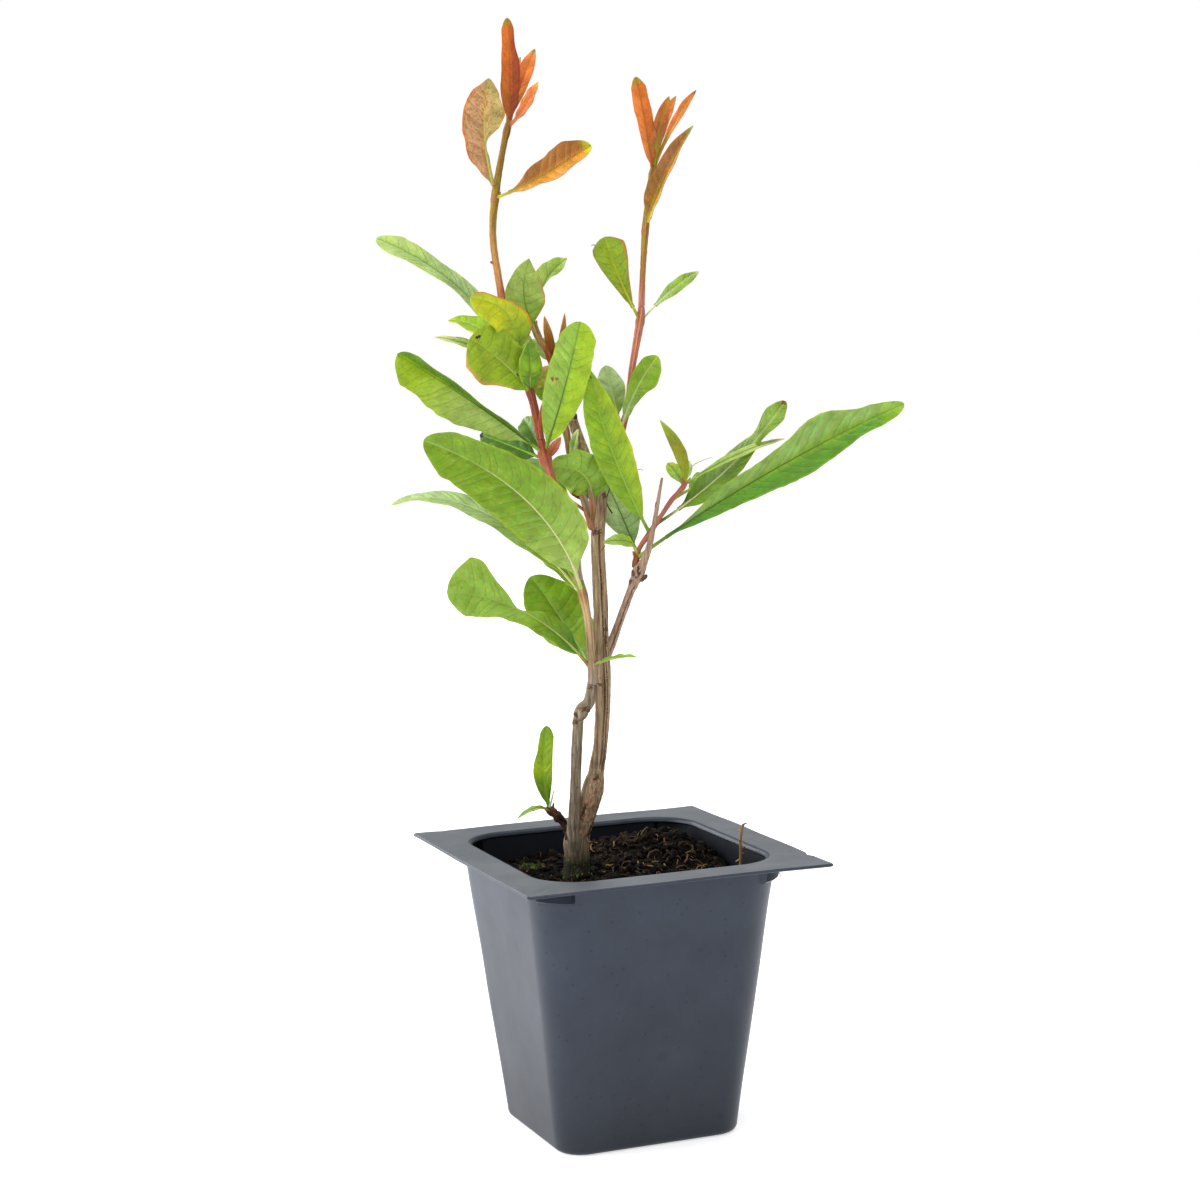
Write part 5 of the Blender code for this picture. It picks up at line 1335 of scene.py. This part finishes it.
def addLeaf(heap, leafShape, root, name):
    draw = random.Random(name)
    blade = Blade(leafShape, root)
    stalk = blade.stalk
    bladeLength = blade.length * (1.0 - stalk)
    style = bladeStyle
    seed = draw.uniform(0, 99)
    rows, gap = bladeRows(bladeLength, draw)
    waves = [(draw.uniform(2.0, 4.5), draw.uniform(0, math.tau)) for _ in range(2)]
    swell = leafShape.get("wave", style["wave"]) * min(leafShape["width"] / 8.0, 1.2)
    slopeFull = math.tan(math.radians(leafShape["fold"]))
    small = min(leafShape["width"] / 7.0, 1.0)
    above, below, marks = [], [], []
    for share, between in rows:
        sweep = style["veinSweep"] * math.sin(math.pi * share)
        rowAbove, rowBelow, rowMarks = [], [], []
        for column in range(-style["columns"], style["columns"] + 1):
            k = abs(column) / style["columns"]
            sign = (column > 0) - (column < 0)
            edge = "left" if sign > 0 else "right"
            roughHalf = max(edgeHalf(leafShape, share, edge), 0.4)
            ribPart = min(style["ribHalf"] / roughHalf, 0.1)
            outer = (k * style["columns"] - 1) / (style["columns"] - 1) if k else 0.0
            cross = ribPart + (1.0 - ribPart) * outer ** 0.9 if k else 0.0
            stagger = sign * style["stagger"] * gap * min(4.0 * cross, 1.0) * math.sin(math.pi * share)
            place = clamp(share + sweep * cross ** 1.25 + stagger)
            half = edgeHalf(leafShape, place, edge)
            spot = Vector((place * bladeLength * style["edgeSpacing"], sign * 5.0, seed))
            half *= 1.0 + style["edgeRough"] * noise.noise(spot)
            half = max(half, style["rootHalf"] * (1.0 - place) + style["tipHalf"])
            point, side, up = blade.at(stalk + place * (1.0 - stalk))
            slope = slopeFull * min(place * 6.0, 1.0)
            turns, phase = waves[0 if sign > 0 else 1]
            fade = min(1.0, 4.0 * place * (1.0 - place) * 1.6)
            swollen = style["puff"] * small * math.sin(math.pi * between) ** 0.8 * (1.0 - cross ** 4)
            lift = slope * cross * half + swollen * min(cross * half, 1.0) * fade
            lift -= style["ribDeep"] * small * math.exp(-(cross * half / style["ribFall"]) ** 2) * fade
            lift += swell * cross * cross * math.sin(math.tau * turns * place + phase) * fade
            centre = point + side * (sign * cross * half) + up * lift
            thick = 0.5 * mix(style["thick"], style["edgeThick"], cross ** 3)
            rowAbove.append(centre + up * thick)
            rowBelow.append(centre - up * thick)
            rowMarks.append((place, sign * cross, half))
        above.append(rowAbove)
        below.append(rowBelow)
        marks.append(rowMarks)
    addBladeFaces(heap, leafShape, bladeLength, rows, above, below, marks, seed, draw)
    addStalk(heap, leafShape, blade, stalk)


def addBladeFaces(heap, leafShape, bladeLength, rows, above, below, marks, seed, draw):
    count = len(above[0])
    total = len(above) * count
    points = [point for row in above for point in row] + [point for row in below for point in row]
    faces, looks = [], []
    under = channels("silver" if leafShape["green"] else "tan")

    def rim(a, b, flip):
        return (total + a, total + b, b, a) if flip else (total + a, a, b, total + b)
    for i in range(len(rows) - 1):
        onVein = rows[i][1] == 1.0 and rows[i + 1][1] == 0.0
        deep = onVein * leafShape.get("dark", 1.0)
        shades = [draw.uniform(*bladeStyle["veinShade"]) * deep for _ in range(2)]
        for j in range(count - 1):
            place, cross, half = marks[i][j]
            place2, cross2, _ = marks[i + 1][j + 1]
            middle, share = 0.5 * (cross + cross2), 0.5 * (place + place2)
            x, y = share * bladeLength, middle * half
            noisy = noise.noise(Vector((x * 0.35, y * 0.35, seed)))
            noisy += 0.4 * noise.noise(Vector((x * 1.4, y * 1.4, seed)))
            net = 1.0 - ease(0.0, 0.14, abs(noise.noise(Vector((x * 1.0, y * 1.0, seed + 9.0)))))
            tone = leafLook(leafShape, share, middle, max(half, 0.5), shades[middle > 0], noisy, net, draw)
            for spotShare, spotCross, radius, spotTone in leafShape.get("spots", ()):
                off = math.hypot((share - spotShare) * bladeLength, y - spotCross * half)
                if off < radius * (1.0 + 0.5 * noisy):
                    tone = blend(tone, channels(spotTone), 0.85)
            a, b = i * count + j, (i + 1) * count + j
            c, d = b + 1, a + 1
            faces.append((a, b, c, d))
            looks.append(plainFinish(tone, "leaf"))
            faces.append((total + a, total + d, total + c, total + b))
            looks.append(plainFinish(blend(tone, under, 0.4), "leaf"))
        for j, flip in ((0, True), (count - 1, False)):
            faces.append(rim(i * count + j, (i + 1) * count + j, flip))
            looks.append(looks[-2])
    for i, flip in ((0, False), (len(rows) - 1, True)):
        for j in range(count - 1):
            faces.append(rim(i * count + j, i * count + j + 1, flip))
            looks.append(looks[-1] if i else looks[0])
    heap.add(points, faces, looks)


def addStalk(heap, leafShape, blade, stalk):      # the stalk runs on under the blade as its rib
    stalkTone = channels(leafShape.get("stalkTone", leafShape["tones"][0]))
    ribTone = channels(leafShape.get("rib", "paleGreen"))
    path = []
    count = max(8, round(blade.length / 1.1))
    size = min(0.42, 0.12 + 0.03 * leafShape["width"])
    for k in range(count + 1):
        share = 0.95 * k / count
        point, _, up = blade.at(share)
        into = clamp((share - stalk) / (1.0 - stalk))
        radius = mix(size * 1.25, size, share / stalk) if share < stalk else mix(size, 0.1, into ** 0.7)
        path.append((point - up * (0.16 * min(into * 10.0, 1.0)), radius))
    middle = 0.5 * (stalk + 0.2)
    ringTones = [blend(stalkTone, ribTone, ease(0.0, middle, 0.95 * k / count)) for k in range(count + 1)]
    finishes = [plainFinish(tone, "leaf") for tone in ringTones]
    sides = 8
    start = len(heap.faces)
    tube(heap, path, sides, finishes[0])
    for k in range(count):
        for i in range(sides):
            heap.looks[start + k * sides + i] = finishes[k]


def stemLook(mass, low, high, draw):
    names = mass["bark"].split()

    def look(height, turn):
        place = clamp((height - low) / (high - low)) * (len(names) - 1)
        first = min(int(place), len(names) - 2)
        tone = blend(channels(names[first]), channels(names[first + 1]), place - first)
        for at, _, knobTone in mass["knobs"]:
            off = (height - at) / 1.3 + 0.8 * noise.noise(Vector((turn * 0.03, at, 0.0)))
            tone = blend(tone, channels(knobTone), 0.5 * math.exp(-off * off))
        streak = noise.noise(onStem(turn, 3.0, height * 0.10 + low))
        streak += 0.5 * noise.noise(onStem(turn, 9.0, height * 0.16))
        if "rough" in mass:
            streak += 1.6 * noise.noise(onStem(turn, 2.0, height * 1.3))
        stripe = math.cos(4.0 * math.radians(turn) + 0.7) ** 3      # pale ridges run along a young stem
        light = 1.0 + 0.30 * streak + 0.10 * stripe + draw.uniform(-0.03, 0.03)
        return plainFinish([level * light for level in tone], "twig")
    return look


def makeMass(name, mass):
    draw = random.Random(name)
    path = smoothPath(mass["stem"], 0.7)
    low, high = path[0][0].z, path[-1][0].z
    heights = [entry["at"] for entry in mass["leaves"]]
    rough = mass.get("rough", 0.07)

    def relief(height, turn, radius):
        out = 0.045 * radius * math.cos(4.0 * math.radians(turn) + height * 0.03)
        out += rough * noise.fractal(onStem(turn, radius * 1.4, height * 0.8), 0.8, 2.1, 3)
        swollen = [0.10 * math.exp(-((height - at) / 1.0) ** 2) for at in heights]
        swollen += [0.45 * size * math.exp(-((height - at) / 1.0) ** 2) for at, size, _ in mass["knobs"]]
        return out + max(swollen)
    twigs = Heap()
    looker = stemLook(mass, low, high, random.Random(name + " bark"))
    tube(twigs, path, 20, looker, relief, tip=0.7)
    leaves = Heap()
    for number, entry in enumerate(mass["leaves"]):
        leafShape = finishedLeaf(entry, draw)
        root = stemPoint(path, leafShape["at"])
        addLeaf(leaves, leafShape, root, f"{name} {number}")
        addBud(twigs, leafShape, root, name + str(number))
    bractDraw = random.Random(name + " bracts")
    for number, entry in enumerate(mass.get("bracts", ())):
        leafShape = finishedLeaf(entry, bractDraw)
        leafShape["stalk"] = 0.6
        addLeaf(leaves, leafShape, stemPoint(path, leafShape["at"]), f"{name} bract {number}")
    for *spots, radius, tone in whiskers.get(name, ()):
        thread(twigs, [Vector(spot) for spot in spots], radius, plainFinish(channels(tone), "twig"), sides=8)
    twigs.piece(name + "_twigs", mass["slot"], name)
    leaves.piece(name + "_blades", mass["slot"], name)
    return len(leaves.faces) + len(twigs.faces)


def addBud(heap, leafShape, root, name):      # a small bud sits above each leaf's root
    draw = random.Random(name)
    reach = Vector(leafShape["reach"]).normalized()
    way = (reach + Vector((0, 0, 1.2))).normalized()
    start = root + Vector((reach.x, reach.y, 0.0)) * 0.8
    size = draw.uniform(0.32, 0.5)
    steps = ((0, 0.7), (0.5, 1.0), (1.1, 0.75), (1.7, 0.2))
    path = [(start + way * along, size * share) for along, share in steps]
    tone = blend(channels("nodeBrown"), channels("redBark"), draw.random())
    tube(heap, path, 8, plainFinish(tone, "twig"))


faceCount = 0
for massName, mass in masses.items():
    faceCount += makeMass(massName, mass)
print("foliage made:", faceCount, "faces,", len(bpy.data.materials), "finishes")
